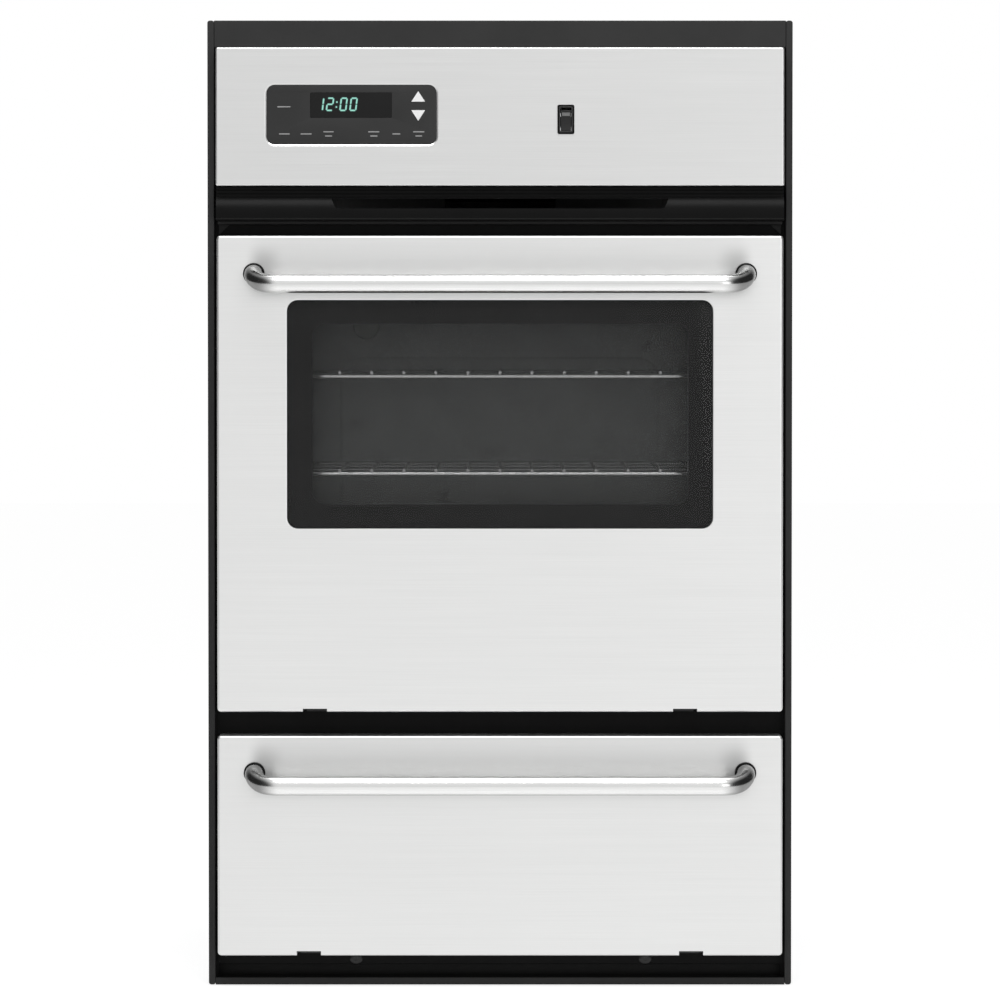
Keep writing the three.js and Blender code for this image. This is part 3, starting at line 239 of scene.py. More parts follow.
def painted_darkening(mat, colour, where):
    """Paints shade into a material's colour: darkens it where a mask is 1."""
    base = shader_of(mat).inputs["Base Color"].links[0].from_socket
    wire(mat, mixed(mat, where, base, tinted(colour, 0.3)), "Base Color")
    return mat


def rack_chrome(name, colour, roughness, front):
    """Chrome with painted shade: darker behind the rack's front rod, deeper in the oven."""
    mat = drawn_tube(name, colour, roughness)
    return painted_darkening(mat, colour, masked(mat, "Y", front + 0.012, front + 0.03, 0.0, 1.0))


def bent_tube(name, colour, roughness, edge):
    """Polished tube with a painted dark reflection round the bends at its ends, and a painted darker
    outline.
    """
    mat = drawn_tube(name, colour, roughness, edge)
    return painted_darkening(mat, colour, masked(mat, "X", 0.226, 0.25, 0.0, 1.0))


def galvanised(name, colour, roughness):
    mat = new_material(name, colour, roughness, 0.85)
    spangle = voronoi(mat, (95, 95, 95), "Color")
    grain = noise(mat, (40, 40, 40), 6.0, 0.65)
    base = blended(mat, spangle, 0.1, 0.9, tinted(colour, 0.86), tinted(colour, 1.1))
    wire(mat, times(mat, base, blended(mat, grain, 0.3, 0.7, tone(0.9), tone(1.0))), "Base Color")
    wire(mat, ranged(mat, spangle, 0.1, 0.9, roughness - 0.05, roughness + 0.05), "Roughness")
    bump(mat, grain, 0.0002, 0.12)
    return mat


PEEL = (900, 900, 900)
PEEL_DEPTH = 0.00006


def painted(name, colour, roughness, scale=PEEL, depth=PEEL_DEPTH, specular=0.5):
    mat = new_material(name, colour, roughness, 0.0, specular)
    peel = noise(mat, scale, 3.0, 0.5)
    cloud = noise(mat, (18, 18, 18), 3.0, 0.5)
    wire(mat, blended(mat, cloud, 0.25, 0.75, tinted(colour, 0.85), tinted(colour, 1.15)), "Base Color")
    wire(mat, ranged(mat, peel, 0.3, 0.7, roughness - 0.05, roughness + 0.07), "Roughness")
    bump(mat, peel, depth, 0.4)
    return mat


def speckled(name, colour, fleck, roughness):
    mat = new_material(name, colour, roughness, 0.0, 0.35)
    flecks = voronoi(mat, (340, 340, 340))
    cloud = noise(mat, (25, 25, 25), 4.0, 0.6)
    ground = blended(mat, cloud, 0.3, 0.7, tinted(colour, 0.8), tinted(colour, 1.2))
    spots = ranged(mat, flecks, 0.16, 0.24, 1.0, 0.0)
    wire(mat, mixed(mat, spots, ground, fleck), "Base Color")
    wire(mat, ranged(mat, cloud, 0.3, 0.7, roughness - 0.06, roughness + 0.08), "Roughness")
    bump(mat, cloud, 0.0003, 0.15)
    return mat


def fibrous(name, colour, roughness):
    mat = new_material(name, colour, roughness, 0.0, 0.2)
    strands = noise(mat, (260, 60, 260), 8.0, 0.7)
    clumps = noise(mat, (35, 35, 35), 4.0, 0.6)
    base = blended(mat, strands, 0.3, 0.7, tinted(colour, 0.75), tinted(colour, 1.1))
    wire(mat, times(mat, base, blended(mat, clumps, 0.3, 0.7, tone(0.85), tone(1.0))), "Base Color")
    bump(mat, strands, 0.002, 0.5)
    return mat


def braided(name, colour, roughness):
    mat = new_material(name, colour, roughness, 0.0, 0.2)
    cells = voronoi(mat, (450, 450, 450), "Distance", 0.25)
    wire(mat, blended(mat, cells, 0.1, 0.7, tinted(colour, 1.3), tinted(colour, 0.5)), "Base Color")
    bump(mat, cells, 0.0006, 0.7)
    return mat


def glazed(name, colour, roughness, alpha, specular=0.5):
    mat = new_material(name, colour, roughness, 0.0, specular)
    smear = noise(mat, (14, 14, 22), 3.0, 0.5)
    wire(mat, ranged(mat, smear, 0.3, 0.7, max(roughness - 0.015, 0.0), roughness + 0.02), "Roughness")
    wire(mat, blended(mat, smear, 0.3, 0.7, tinted(colour, 0.95), tinted(colour, 1.05)), "Base Color")
    shader_of(mat).inputs["Alpha"].default_value = alpha
    return mat


def glowing(name, colour, strength):
    mat = new_material(name, tinted(colour, 0.4), 0.4)
    shader = shader_of(mat)
    shader.inputs["Emission Color"].default_value = (*colour, 1)
    shader.inputs["Emission Strength"].default_value = strength
    flicker = noise(mat, (800, 800, 800), 2.0, 0.5)
    wire(mat, blended(mat, flicker, 0.3, 0.7, tinted(colour, 0.36), tinted(colour, 0.42)), "Base Color")
    return mat


def looks(*rows):
    """Materials by name, from rows of name, builder and the builder's other values."""
    return {name: builder(name, *values) for name, builder, *values in rows}


# LOOKS are the record's material slots, EXTRA the looks of single pieces
FINE = (1500, 1500, 1500)
LOOKS = looks(
    ("stainless", brushed, (0.745, 0.747, 0.742), 0.34, 0.03),
    # The handle steel paints dark reflection into its colour, round the bends and along its outline
    ("handle_steel", bent_tube, (0.79, 0.79, 0.785), 0.2, 0.5),
    ("galvanised", galvanised, (0.56, 0.575, 0.58), 0.6),
    ("frame_black", painted, tone(0.0045), 0.5, PEEL, PEEL_DEPTH, 0.10),
    ("trim_charcoal", painted, tone(0.021), 0.5, PEEL, PEEL_DEPTH, 0.2),
    ("black_plastic", painted, tone(0.004), 0.42, FINE, 0.00003, 0.16),
    ("keypad_film", painted, tone(0.025), 0.42, (1200, 1200, 1200), 0.00002, 0.18),
    ("dark_glass", glazed, tone(0.003), 0.03, 0.16, 0.35),
    ("clear_glass", glazed, (0.3, 0.31, 0.305), 0.02, 0.15, 0.4),
    ("enamel", speckled, (0.085, 0.088, 0.094), (0.30, 0.31, 0.33), 0.32),
    ("insulation", fibrous, (0.62, 0.52, 0.26), 0.95),
    ("chrome_wire", drawn_tube, (0.86, 0.865, 0.87), 0.14),
    ("cast_metal", painted, (0.42, 0.43, 0.44), 0.5, (500, 500, 500), 0.0002),
    ("brass", drawn_tube, (0.62, 0.44, 0.16), 0.3),
    ("ceramic", painted, (0.66, 0.63, 0.57), 0.55, (400, 400, 400), 0.0001),
    ("seal_fibre", braided, tone(0.09), 0.9),
)
shader_of(LOOKS["cast_metal"]).inputs["Metallic"].default_value = 0.8
EXTRA = looks(
    ("panel_steel", brushed, (0.665, 0.667, 0.663), 0.33, 0.028),
    # The two door steels paint their handle's shade into the colour, at the handle heights given
    ("oven_steel", brushed, (0.745, 0.747, 0.742), 0.34, 0.03, 0.7285),
    ("broiler_steel", brushed, (0.725, 0.727, 0.722), 0.34, 0.03, 0.2125, 0.7),
    ("window_print", painted, tone(0.0155), 0.35, FINE, 0.00001, 0.18),
    ("lens", painted, tone(0.010), 0.12, FINE, 0.000005, 0.11),
    # The rack wire's chrome carries painted shade behind the front rod
    ("rack_wire", rack_chrome, (0.93, 0.935, 0.94), 0.14, -0.2185),
    ("vent_paint", painted, tone(0.0042), 0.36, (1100, 1100, 1100), 0.00004, 0.06),
    ("flue_dark", painted, tone(0.08), 0.7, (300, 300, 300), 0.0002, 0.1),
    ("lug_grey", painted, tone(0.035), 0.5, (700, 700, 700), 0.00008, 0.3),
    ("bezel", painted, tone(0.0035), 0.4, FINE, 0.00003, 0.08),
    ("rocker", painted, tone(0.016), 0.42, FINE, 0.00003, 0.2),
    ("rim_grey", painted, tone(0.045), 0.45, FINE, 0.00003, 0.25),
    ("print_grey", painted, tone(0.27), 0.5, FINE, 0.00001),
    ("print_pale", painted, tone(0.70), 0.5, FINE, 0.00001),
    # A pale grey for the painted highlight on the rocker
    ("print_dark", painted, tone(0.15), 0.5, FINE, 0.00001),
    ("digit", glowing, (0.25, 0.56, 0.47), 0.8),
    ("halo", glowing, (0.004, 0.05, 0.04), 0.5),
    ("gap_grey", painted, tone(0.016), 0.5, PEEL, 0.00005, 0.2),
    ("screw_black", painted, tone(0.006), 0.22, FINE, 0.00003, 0.35),
    ("screw_steel", drawn_tube, (0.62, 0.63, 0.64), 0.3),
    ("bulb_glass", glazed, (0.55, 0.56, 0.54), 0.08, 0.45),
    ("rubber", painted, tone(0.02), 0.7, (700, 700, 700), 0.0001),
)


# Meshes
def finish_mesh(name, mesh, body, slot, look=None, sharp=35):
    mesh.validate()
    mesh.set_sharp_from_angle(angle=math.radians(sharp))
    for polygon in mesh.polygons:
        polygon.use_smooth = True
    obj = linked(name, mesh)
    mesh.materials.clear()
    mesh.materials.append(look or LOOKS[slot])
    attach(obj, body)
    return obj


def weld(work):
    bmesh.ops.remove_doubles(work, verts=work.verts, dist=1e-6)


def drop_slivers(work):
    bmesh.ops.dissolve_degenerate(work, dist=1e-7, edges=work.edges)


def face_out(work):
    bmesh.ops.recalc_face_normals(work, faces=work.faces)


def face_front(work):
    if sum(face.normal.y for face in work.faces) > 0:
        bmesh.ops.reverse_faces(work, faces=work.faces)


def reworked(mesh, *steps):
    work = bmesh.new()
    work.from_mesh(mesh)
    for step in steps:
        step(work)
    work.to_mesh(mesh)
    work.free()
    return mesh


def raw_mesh(name, points, faces):
    mesh = bpy.data.meshes.new(name)
    mesh.from_pydata([Vector(p) * MM for p in points], [], faces)
    return mesh


def from_lists(name, points, faces):
    return reworked(raw_mesh(name, points, faces), weld, face_out)


def baked(data, *modifiers):
    """The mesh of some object data after modifiers, given as (type, {setting: value})."""
    carrier = linked("carrier", data)
    for kind, settings in modifiers:
        modifier = carrier.modifiers.new(kind, kind)
        for key, value in settings.items():
            setattr(modifier, key, value)
    bpy.context.view_layer.update()
    evaluated = carrier.evaluated_get(bpy.context.evaluated_depsgraph_get())
    result = bpy.data.meshes.new_from_object(evaluated)
    bpy.data.objects.remove(carrier)
    return result


def cut_away(mesh, *cutters):
    """Subtracts cutter meshes from a mesh."""
    tools = [linked("cutter", cutter) for cutter in cutters]
    modifiers = [("BOOLEAN", {"operation": "DIFFERENCE", "object": t, "solver": "EXACT"}) for t in tools]
    result = baked(mesh, *modifiers)
    for tool in tools:
        bpy.data.objects.remove(tool)
    return result


def merged(name, meshes):
    work = bmesh.new()
    for mesh in meshes:
        work.from_mesh(mesh)
    result = bpy.data.meshes.new(name)
    work.to_mesh(result)
    work.free()
    return result


def round_rect(x0, x1, z0, z1, radius, steps=6):
    corners = [(x1 - radius, z0 + radius, -90), (x1 - radius, z1 - radius, 0),
               (x0 + radius, z1 - radius, 90), (x0 + radius, z0 + radius, 180)]
    loop = []
    for cx, cz, start in corners:
        for i in range(steps + 1):
            angle = math.radians(start + 90 * i / steps)
            loop.append((cx + radius * math.cos(angle), cz + radius * math.sin(angle)))
    return loop


def lofted(name, loops, cap_first=False, cap_last=False, closed=False):
    """Joins loops of equally many (x, y, z) points with quads."""
    points = [p for loop in loops for p in loop]
    n = len(loops[0])
    faces = []
    rows = len(loops) if closed else len(loops) - 1
    for r in range(rows):
        a, b = r * n, (r + 1) % len(loops) * n
        for i in range(n):
            j = (i + 1) % n
            faces.append((a + i, a + j, b + j, b + i))
    if cap_first:
        faces.append(tuple(range(n)))
    if cap_last:
        faces.append(tuple(range(len(points) - n, len(points))))
    return from_lists(name, points, faces)


def at_y(loop, y):
    return [(x, y, z) for x, z in loop]


def block_mesh(x0, x1, y0, y1, z0, z1, bevel=0.0):
    points = [(x, y, z) for x in (x0, x1) for y in (y0, y1) for z in (z0, z1)]
    faces = [(0, 1, 3, 2), (4, 6, 7, 5), (0, 4, 5, 1), (2, 3, 7, 6), (0, 2, 6, 4), (1, 5, 7, 3)]
    mesh = from_lists("block", points, faces)
    if bevel:
        mesh = baked(mesh, ("BEVEL", {"width": bevel * MM, "segments": 2, "limit_method": "ANGLE"}))
    return mesh


def plate_mesh(loops, front, rear, bevel=0.0):
    """Flat plate with holes: 2D loops in X and Z, between two Y planes, with rounded edges."""
    curve = bpy.data.curves.new("plate", "CURVE")
    curve.dimensions = "2D"
    curve.fill_mode = "BOTH"
    curve.extrude = (rear - front) / 2 * MM - bevel * MM
    curve.bevel_depth = bevel * MM
    curve.bevel_resolution = 2
    curve.offset = -bevel * MM
    for loop in loops:
        spline = curve.splines.new("POLY")
        spline.points.add(len(loop) - 1)
        for point, (x, z) in zip(spline.points, loop):
            point.co = (x * MM, z * MM, 0, 1)
        spline.use_cyclic_u = True
    mesh = baked(curve)
    upright = Matrix(((1, 0, 0, 0), (0, 0, -1, 0), (0, 1, 0, 0), (0, 0, 0, 1)))
    mesh.transform(Matrix.Translation((0, (front + rear) / 2 * MM, 0)) @ upright)
    return reworked(mesh, weld, face_out)


def circle(centre, first, second, radius, sides):
    """Points round a circle that two directions span."""
    points = []
    for k in range(sides):
        angle = 2 * math.pi * k / sides
        points.append(tuple(centre + (first * math.cos(angle) + second * math.sin(angle)) * radius))
    return points


def swept(path, radius, sides=20, domed=False):
    """Round rod along a path of points, with flat or domed ends."""
    points = [Vector(p) for p in path]
    last = len(points) - 1
    tangents = []
    for i, here in enumerate(points):
        before = points[max(i - 1, 0)]
        after = points[min(i + 1, last)]
        arriving = (here - before).normalized() if i else (after - here).normalized()
        leaving = (after - here).normalized() if i < last else arriving
        tangents.append((arriving + leaving).normalized())
    side = tangents[0].orthogonal().normalized()
    rings = []
    for here, tangent in zip(points, tangents):
        side = (side - tangent * side.dot(tangent)).normalized()
        rings.append((here, tangent, side.copy()))
    caps = 4 if domed else 0
    loops = []

    def dome(index, inward, steps):
        centre, tangent, axis = rings[index]
        for k in steps:
            share = math.sin(math.pi / 2 * (k + 1) / (caps + 1))
            middle = centre + tangent * radius * (1 - share) * inward
            loops.append(circle(middle, axis, tangent.cross(axis), radius * share, sides))

    dome(0, 1, range(caps))
    for index, (centre, tangent, axis) in enumerate(rings):
        if caps and index in (0, last):
            centre = centre + tangent * radius * (-1 if index else 1)
        loops.append(circle(centre, axis, tangent.cross(axis), radius, sides))
    dome(last, -1, reversed(range(caps)))
    return lofted("rod", loops, True, True)


def spun(profile, centre, sides=32):
    """Profile of (radius, distance along Y), turned round the Y line through centre."""
    points, faces = [], []
    n = len(profile)
    for k in range(sides):
        angle = 2 * math.pi * k / sides
        for radius, along in profile:
            place = (radius * math.cos(angle), along, radius * math.sin(angle))
            points.append(tuple(c + p for c, p in zip(centre, place)))
    for k in range(sides):
        a, b = k * n, (k + 1) % sides * n
        for i in range(n - 1):
            faces.append((a + i, a + i + 1, b + i + 1, b + i))
    return reworked(from_lists("spun", points, faces), drop_slivers, face_out)


def screw_mesh(x, y, z, out, radius, height):
    """Pan head screw with a recess. Its head stands out along Y, and out is +1 or -1."""
    profile = [(0, 0), (radius, 0), (radius, height * 0.35), (radius * 0.82, height * 0.85),
               (radius * 0.45, height), (radius * 0.22, height), (0, height * 0.45)]
    return spun([(r, a * out) for r, a in profile], (x, y, z), 20)


# Sizes of the frame, in millimetres, from the boxes of its nodes
def box_mm(node):
    low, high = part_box(node)
    return [v / MM for v in low], [v / MM for v in high]


def face_rect(node):
    low, high = box_mm(node)
    return (low[0], high[0], low[2], high[2])


def middle(node):
    low, high = box_mm(node)
    return [(a + b) / 2 for a, b in zip(low, high)]


FACE_HALF, _, FACE_HEIGHT = box_mm("face_frame")[1]
FACE_Y = box_mm("face_frame")[0][1]
TRIM_INNER, TRIM_FRONT, _ = box_mm("side_trim_right")[0]
DOOR = face_rect("oven_door_skin")
BROILER = face_rect("broiler_door_skin")
DOOR_FRONT = box_mm("oven_door_skin")[0][1]
SKIN_REAR = box_mm("oven_door_skin")[1][1]
PANEL = face_rect("control_panel")
PANEL_HALF = PANEL[1]
PANEL_FRONT = box_mm("control_panel")[0][1]
VENT = face_rect("vent_trim")
WINDOW_SIDE, WINDOW_TOP, WINDOW_BOTTOM = 72.55, 66.7, 190.0
WINDOW = (DOOR[0] + WINDOW_SIDE, DOOR[1] - WINDOW_SIDE, DOOR[2] + WINDOW_BOTTOM, DOOR[3] - WINDOW_TOP)
WINDOW_CORNER = 11.0
CLEAR_LEFT, CLEAR_RIGHT, CLEAR_LOW, CLEAR_TOP = 26.15, 25.15, 24.7, 24.3
CLEAR = (WINDOW[0] + CLEAR_LEFT, WINDOW[1] - CLEAR_RIGHT, WINDOW[2] + CLEAR_LOW, WINDOW[3] - CLEAR_TOP)
CLEAR_CORNER = 12.5
OVERLAY = face_rect("control_overlay")
LENS = face_rect("display_lens")
SHELL_HALF = box_mm("side_panel_right")[1][0]
SHELL_REAR = box_mm("rear_cover")[1][1]
SHELL_HEIGHT = box_mm("side_panel_right")[1][2]
SUPPORT = 0.4


def grown(rect, margin):
    x0, x1, z0, z1 = rect
    return (x0 - margin, x1 + margin, z0 - margin, z1 + margin)


def bar(profile, x0, x1):
    """Prism along X from a profile of (y, z)."""
    return lofted("bar", [[(x, y, z) for y, z in profile] for x in (x0, x1)], True, True)


def rounded_front(rect, corner, front, edge, steps=6, rows=5):
    """Loops of a face with a rounded edge, with a loop beside it that keeps the face flat."""
    inner = edge + SUPPORT
    loops = [at_y(round_rect(*grown(rect, -inner), max(corner - inner, 0.6), steps), front)]
    for i in range(rows + 1):
        angle = math.pi / 2 * i / rows
        inset = edge * (1 - math.sin(angle))
        loops.append(at_y(round_rect(*grown(rect, -inset), max(corner - inset, 0.8), steps),
                          front + edge * (1 - math.cos(angle))))
    return loops


def thickened(mesh, sheet):
    """Gives a skin its sheet thickness, inwards."""
    return baked(mesh, ("SOLIDIFY", {"thickness": sheet * MM, "offset": -1.0}))


def tray(rect, corner, front, rear, edge, hole, hole_corner, sheet=1.2, flange=9.0, steps=6):
    """Formed sheet tray: a flat front with a rolled edge, walls, a rear return and, maybe, a window."""
    loops = []
    if hole:
        for margin, depth in ((0.0, 3.2), (0.0, 1.0), (0.3, 0.3), (1.0, 0.0), (1.0 + SUPPORT, 0.0)):
            loops.append(at_y(round_rect(*grown(hole, margin), hole_corner + margin, steps), front + depth))
    loops += rounded_front(rect, corner, front, edge, steps)
    for margin, depth in ((0.0, 1.0), (-0.3, 0.3), (-1.0, 0.0), (-flange, 0.0)):
        loops.append(at_y(round_rect(*grown(rect, margin), corner, steps), rear - depth))
    return thickened(lofted("tray", loops, cap_first=not hole), sheet)


# Door skins. Each notch, over a hinge bracket, is given by its place in X and its height
SKIN_CORNER, SKIN_EDGE = 4.0, 2.6
NOTCH_WIDTH = 25.0
NOTCHES = {"oven": (191.5, 3.5), "broiler": (198.0, 4.8)}


def notch_cutters(door, z):
    x, height = NOTCHES[door]
    half = NOTCH_WIDTH / 2
    return [block_mesh(s * x - half, s * x + half, DOOR_FRONT - 8, SKIN_REAR + 8, z - 8, z + height)
            for s in (-1, 1)]


for door, rect, hole in (("oven", DOOR, WINDOW), ("broiler", BROILER, None)):
    mesh = tray(rect, SKIN_CORNER, DOOR_FRONT, SKIN_REAR, SKIN_EDGE, hole, WINDOW_CORNER)
    mesh = cut_away(mesh, *notch_cutters(door, rect[2]))
    skin = finish_mesh(f"{door}_door_sheet", mesh, f"{door}_door", "stainless", EXTRA[f"{door}_steel"])
    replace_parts(skin, f"{door}_door_skin")

# Window: a pane with a black printed border on its rear face
PANE_FRONT, PANE_REAR = box_mm("oven_door_glass")[0][1], box_mm("oven_door_glass")[1][1]
PANE_LAP, PANE_CORNER = 8, 18
PRINT_GAP, PRINT_DEPTH = 0.05, 0.4
pane = plate_mesh([round_rect(*grown(WINDOW, PANE_LAP), PANE_CORNER, 8)], PANE_FRONT, PANE_REAR, 0.5)
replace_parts(finish_mesh("oven_window_pane", pane, "oven_door", "dark_glass"), "oven_door_glass")
border = plate_mesh([round_rect(*grown(WINDOW, PANE_LAP - 1), PANE_CORNER - 1, 8),
                     round_rect(*CLEAR, CLEAR_CORNER, 8)],
                    PANE_REAR + PRINT_GAP, PANE_REAR + PRINT_GAP + PRINT_DEPTH)
finish_mesh("oven_window_border", border, "oven_door", "dark_glass", EXTRA["window_print"])

# Handles: drooping bent tubes in black rings
HANDLE_HALF = middle("oven_handle_grommet_right")[0]
HANDLE_R = 9.5
STAND_OFF = 40.45
BEND = 30.0
DROOP = 10.5


def handle_path(z):
    leg = STAND_OFF - BEND
    flat = [(-HANDLE_HALF, 0.0), (-HANDLE_HALF, leg / 2), (-HANDLE_HALF, leg)]
    for i in range(1, 17):
        angle = math.pi / 2 * i / 16
        flat.append((BEND * (1 - math.cos(angle)) - HANDLE_HALF, leg + BEND * math.sin(angle)))
    flat += [(x, STAND_OFF) for x in (-180.0, -90.0, -30.0)]
    flat += [(-x, forward) for x, forward in reversed(flat)]
    path = []
    for x, forward in flat:
        share = min(max((forward - leg / 2) / (STAND_OFF - leg / 2), 0), 1)
        rise = share * share * (3 - 2 * share)
        path.append((x, DOOR_FRONT - forward, z - DROOP * rise))
    return path


def grommet(x, z):
    bore, rim, deep = HANDLE_R + 0.15, HANDLE_R + 1.65, 3.5
    profile = [(bore, 0.6), (bore, -deep + 0.5), (bore + 0.35, -deep), (rim - 0.6, -deep),
               (rim, -deep + 0.8), (rim, 0.0), (rim - 0.4, 0.6), (bore, 0.6)]
    return spun(profile, (x, DOOR_FRONT, z), 40)


for door in ("oven", "broiler"):
    z = middle(f"{door}_handle_grommet_right")[2]
    tube = finish_mesh(f"{door}_handle_tube", swept(handle_path(z), HANDLE_R, 48), f"{door}_door",
                       "handle_steel", sharp=60)
    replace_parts(tube, f"{door}_door_handle")
    for side, sign in (("left", -1), ("right", 1)):
        ring = finish_mesh(f"{door}_handle_ring_{side}", grommet(sign * HANDLE_HALF, z), f"{door}_door",
                           "black_plastic")
        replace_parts(ring, f"{door}_handle_grommet_{side}")

# Control panel with a pressed rim round the touch panel
OVERLAY_CORNER = 8.0
PANEL_CORNER, PANEL_EDGE = 2.4, 1.8
SWITCH_HOLE_X, SWITCH_HOLE_Z = 7.2, 13.8
loops = []
for margin, depth in ((-1.5, 2.2), (0.1, 1.6), (0.35, 0.9), (1.7, 0.12), (2.2, 0.0), (2.2 + SUPPORT, 0.0)):
    loops.append(at_y(round_rect(*grown(OVERLAY, margin), OVERLAY_CORNER + margin), PANEL_FRONT + depth))
loops += rounded_front(PANEL, PANEL_CORNER, PANEL_FRONT, PANEL_EDGE)
loops.append(at_y(round_rect(*PANEL, PANEL_CORNER), FACE_Y - 0.2))
mesh = thickened(lofted("panel", loops), 1.3)
sx, _, sz = middle("switch_housing")
hole = block_mesh(sx - SWITCH_HOLE_X, sx + SWITCH_HOLE_X, PANEL_FRONT - 5, PANEL_FRONT + 8,
                  sz - SWITCH_HOLE_Z, sz + SWITCH_HOLE_Z)
mesh = cut_away(mesh, hole)
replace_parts(finish_mesh("control_panel_sheet", mesh, "chassis", "stainless", EXTRA["panel_steel"]),
            "control_panel")

# Touch panel film and display window
FILM_FRONT = -277.75
FILM_REAR = FILM_FRONT + 0.9
film = plate_mesh([round_rect(*OVERLAY, OVERLAY_CORNER, 8), round_rect(*grown(LENS, 0.15), 1.2, 4)],
                  FILM_FRONT, FILM_REAR, 0.2)
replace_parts(finish_mesh("touch_film", film, "chassis", "keypad_film"), "control_overlay")
lens = plate_mesh([round_rect(*LENS, 1.1, 4)], FILM_FRONT + 0.08, FILM_REAR, 0.1)
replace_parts(finish_mesh("clock_window", lens, "chassis", "dark_glass", EXTRA["lens"]), "display_lens")


def polygons_mesh(shapes, front, thickness):
    """Several flat shapes, lists of (x, z), as thin plates in one mesh."""
    meshes = [plate_mesh([shape], front, front + thickness) for shape in shapes]
    return merged("shapes", meshes)


# Clock digits, key arrows and key dashes, placed from the middle of the touch panel
ox, _, oz = middle("control_overlay")
DIGIT_BOTTOM = oz + 3.65
DIGIT_W, DIGIT_H, STROKE, SLANT = 7.4, 14.0, 1.45, 0.12
DIGIT_LEFTS = (-36.9, -26.75, -12.8, -2.5)
COLON = -16.2
LIT = {"1": "bc", "2": "abged", "0": "abcdef"}


def segment_shapes(left, lit, spread):
    """Seven-segment digit as slanted hexagonal strokes. Spread makes each stroke that much fatter."""
    def lean(x, z):
        return (left + x + z * SLANT, DIGIT_BOTTOM + z)

    width, height = DIGIT_W, DIGIT_H
    gap = STROKE * 0.12
    half = STROKE / 2
    fat = half + spread
    mid = height / 2
    runs = {
        "a": ((half, height - half), (width - half, height - half)),
        "g": ((half, mid), (width - half, mid)),
        "d": ((half, half), (width - half, half)),
        "b": ((width - half, height - half), (width - half, mid)),
        "c": ((width - half, mid), (width - half, half)),
        "f": ((half, height - half), (half, mid)),
        "e": ((half, mid), (half, half)),
    }
    shapes = []
    for key in lit:
        (x0, z0), (x1, z1) = runs[key]
        if z0 == z1:
            x0, x1 = x0 + gap - spread, x1 - gap + spread
            shape = [(x0, z0), (x0 + half, z0 - fat), (x1 - half, z0 - fat), (x1, z0), (x1 - half, z0 + fat),
                     (x0 + half, z0 + fat)]
        else:
            z1, z0 = min(z0, z1) + gap - spread, max(z0, z1) - gap + spread
            shape = [(x0, z0), (x0 - fat, z0 - half), (x0 - fat, z1 + half), (x0, z1), (x0 + fat, z1 + half),
                     (x0 + fat, z0 - half)]
        shapes.append([lean(x, z) for x, z in shape])
    return shapes


def clock_shapes(spread):
    shapes = []
    for left, digit in zip(DIGIT_LEFTS, "1200"):
        shapes += segment_shapes(ox + left, LIT[digit], spread)
    dot = 0.7 + spread
    for z in (DIGIT_BOTTOM + DIGIT_H * 0.3, DIGIT_BOTTOM + DIGIT_H * 0.66):
        x = ox + COLON + (z - DIGIT_BOTTOM) * SLANT
        shapes.append([(x - dot, z - dot), (x + dot, z - dot), (x + dot, z + dot), (x - dot, z + dot)])
    return shapes


glow = [plate_mesh([shape], FILM_FRONT - 0.01 - 0.004 * i, FILM_FRONT + 0.1)
        for i, shape in enumerate(clock_shapes(0.55))]
finish_mesh("clock_glow", merged("glow", glow), "chassis", "keypad_film", EXTRA["halo"])
digits = polygons_mesh(clock_shapes(0.0), FILM_FRONT - 0.16, 0.06)
finish_mesh("clock_digits", digits, "chassis", "keypad_film", EXTRA["digit"])

DASH = 1.1
KEY_DASHES = ((-76.6, -63.0, 8.1), (-74.8, -63.9, -19.9), (-52.6, -41.2, -19.9), (-29.1, -18.5, -17.7),
              (-27.4, -20.1, -22.0), (17.2, 28.7, -17.7), (19.2, 26.7, -22.0), (42.1, 50.3, -19.9),
              (63.5, 75.1, -17.7), (65.8, 72.8, -22.0))
dashes = []
for x0, x1, z in KEY_DASHES:
    dashes.append(round_rect(ox + x0, ox + x1, oz + z - DASH / 2, oz + z + DASH / 2, DASH * 0.4, 3))
finish_mesh("key_marks", polygons_mesh(dashes, FILM_FRONT - 0.06, 0.1), "chassis", "keypad_film",
            EXTRA["print_grey"])
ARROW_LEFT, ARROW_RIGHT = ox + 61.7, ox + 75.9
tip = (ARROW_LEFT + ARROW_RIGHT) / 2
arrows = [[(ARROW_LEFT, oz + 13.4), (ARROW_RIGHT, oz + 13.4), (tip, oz + 24.1)],
          [(tip, oz - 6.4), (ARROW_RIGHT, oz + 4.6), (ARROW_LEFT, oz + 4.6)]]
finish_mesh("key_arrows", polygons_mesh(arrows, FILM_FRONT - 0.06, 0.1), "chassis", "keypad_film",
            EXTRA["print_pale"])

# Rocker switch: black flange, grey rim, tilted rocker with a painted highlight strip on its upper part
def switch_ring(outer, inner, front, rear, bevel=0.0):
    """Ring round the rocker. Outer and inner say half width, half height, corner and corner steps."""
    loops = []
    for x, z, corner, steps in (outer, inner):
        loops.append(round_rect(sx - x, sx + x, sz - z, sz + z, corner, steps))
    return plate_mesh(loops, PANEL_FRONT + front, PANEL_FRONT + rear, bevel)


flange = switch_ring((8.7, 15.15, 1.8, 4), (5.75, 12.2, 0.8, 3), -2.0, 0.0, 0.6)
walls = switch_ring((6.8, 13.3, 0.9, 3), (5.7, 12.1, 0.8, 3), -1.0, 15.0)
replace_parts(finish_mesh("switch_bezel", merged("bezel", [flange, walls]), "chassis", "black_plastic",
                        EXTRA["bezel"]), "switch_housing")
rim = switch_ring((6.8, 13.2, 1.0, 3), (6.0, 12.4, 0.8, 3), -2.22, -1.6, 0.15)
finish_mesh("switch_rim", rim, "chassis", "black_plastic", EXTRA["rim_grey"])

PIVOT_Y = PANEL_FRONT + 4.0
ROCKER_TILT = math.radians(10)
ROCKER_END = 10.6


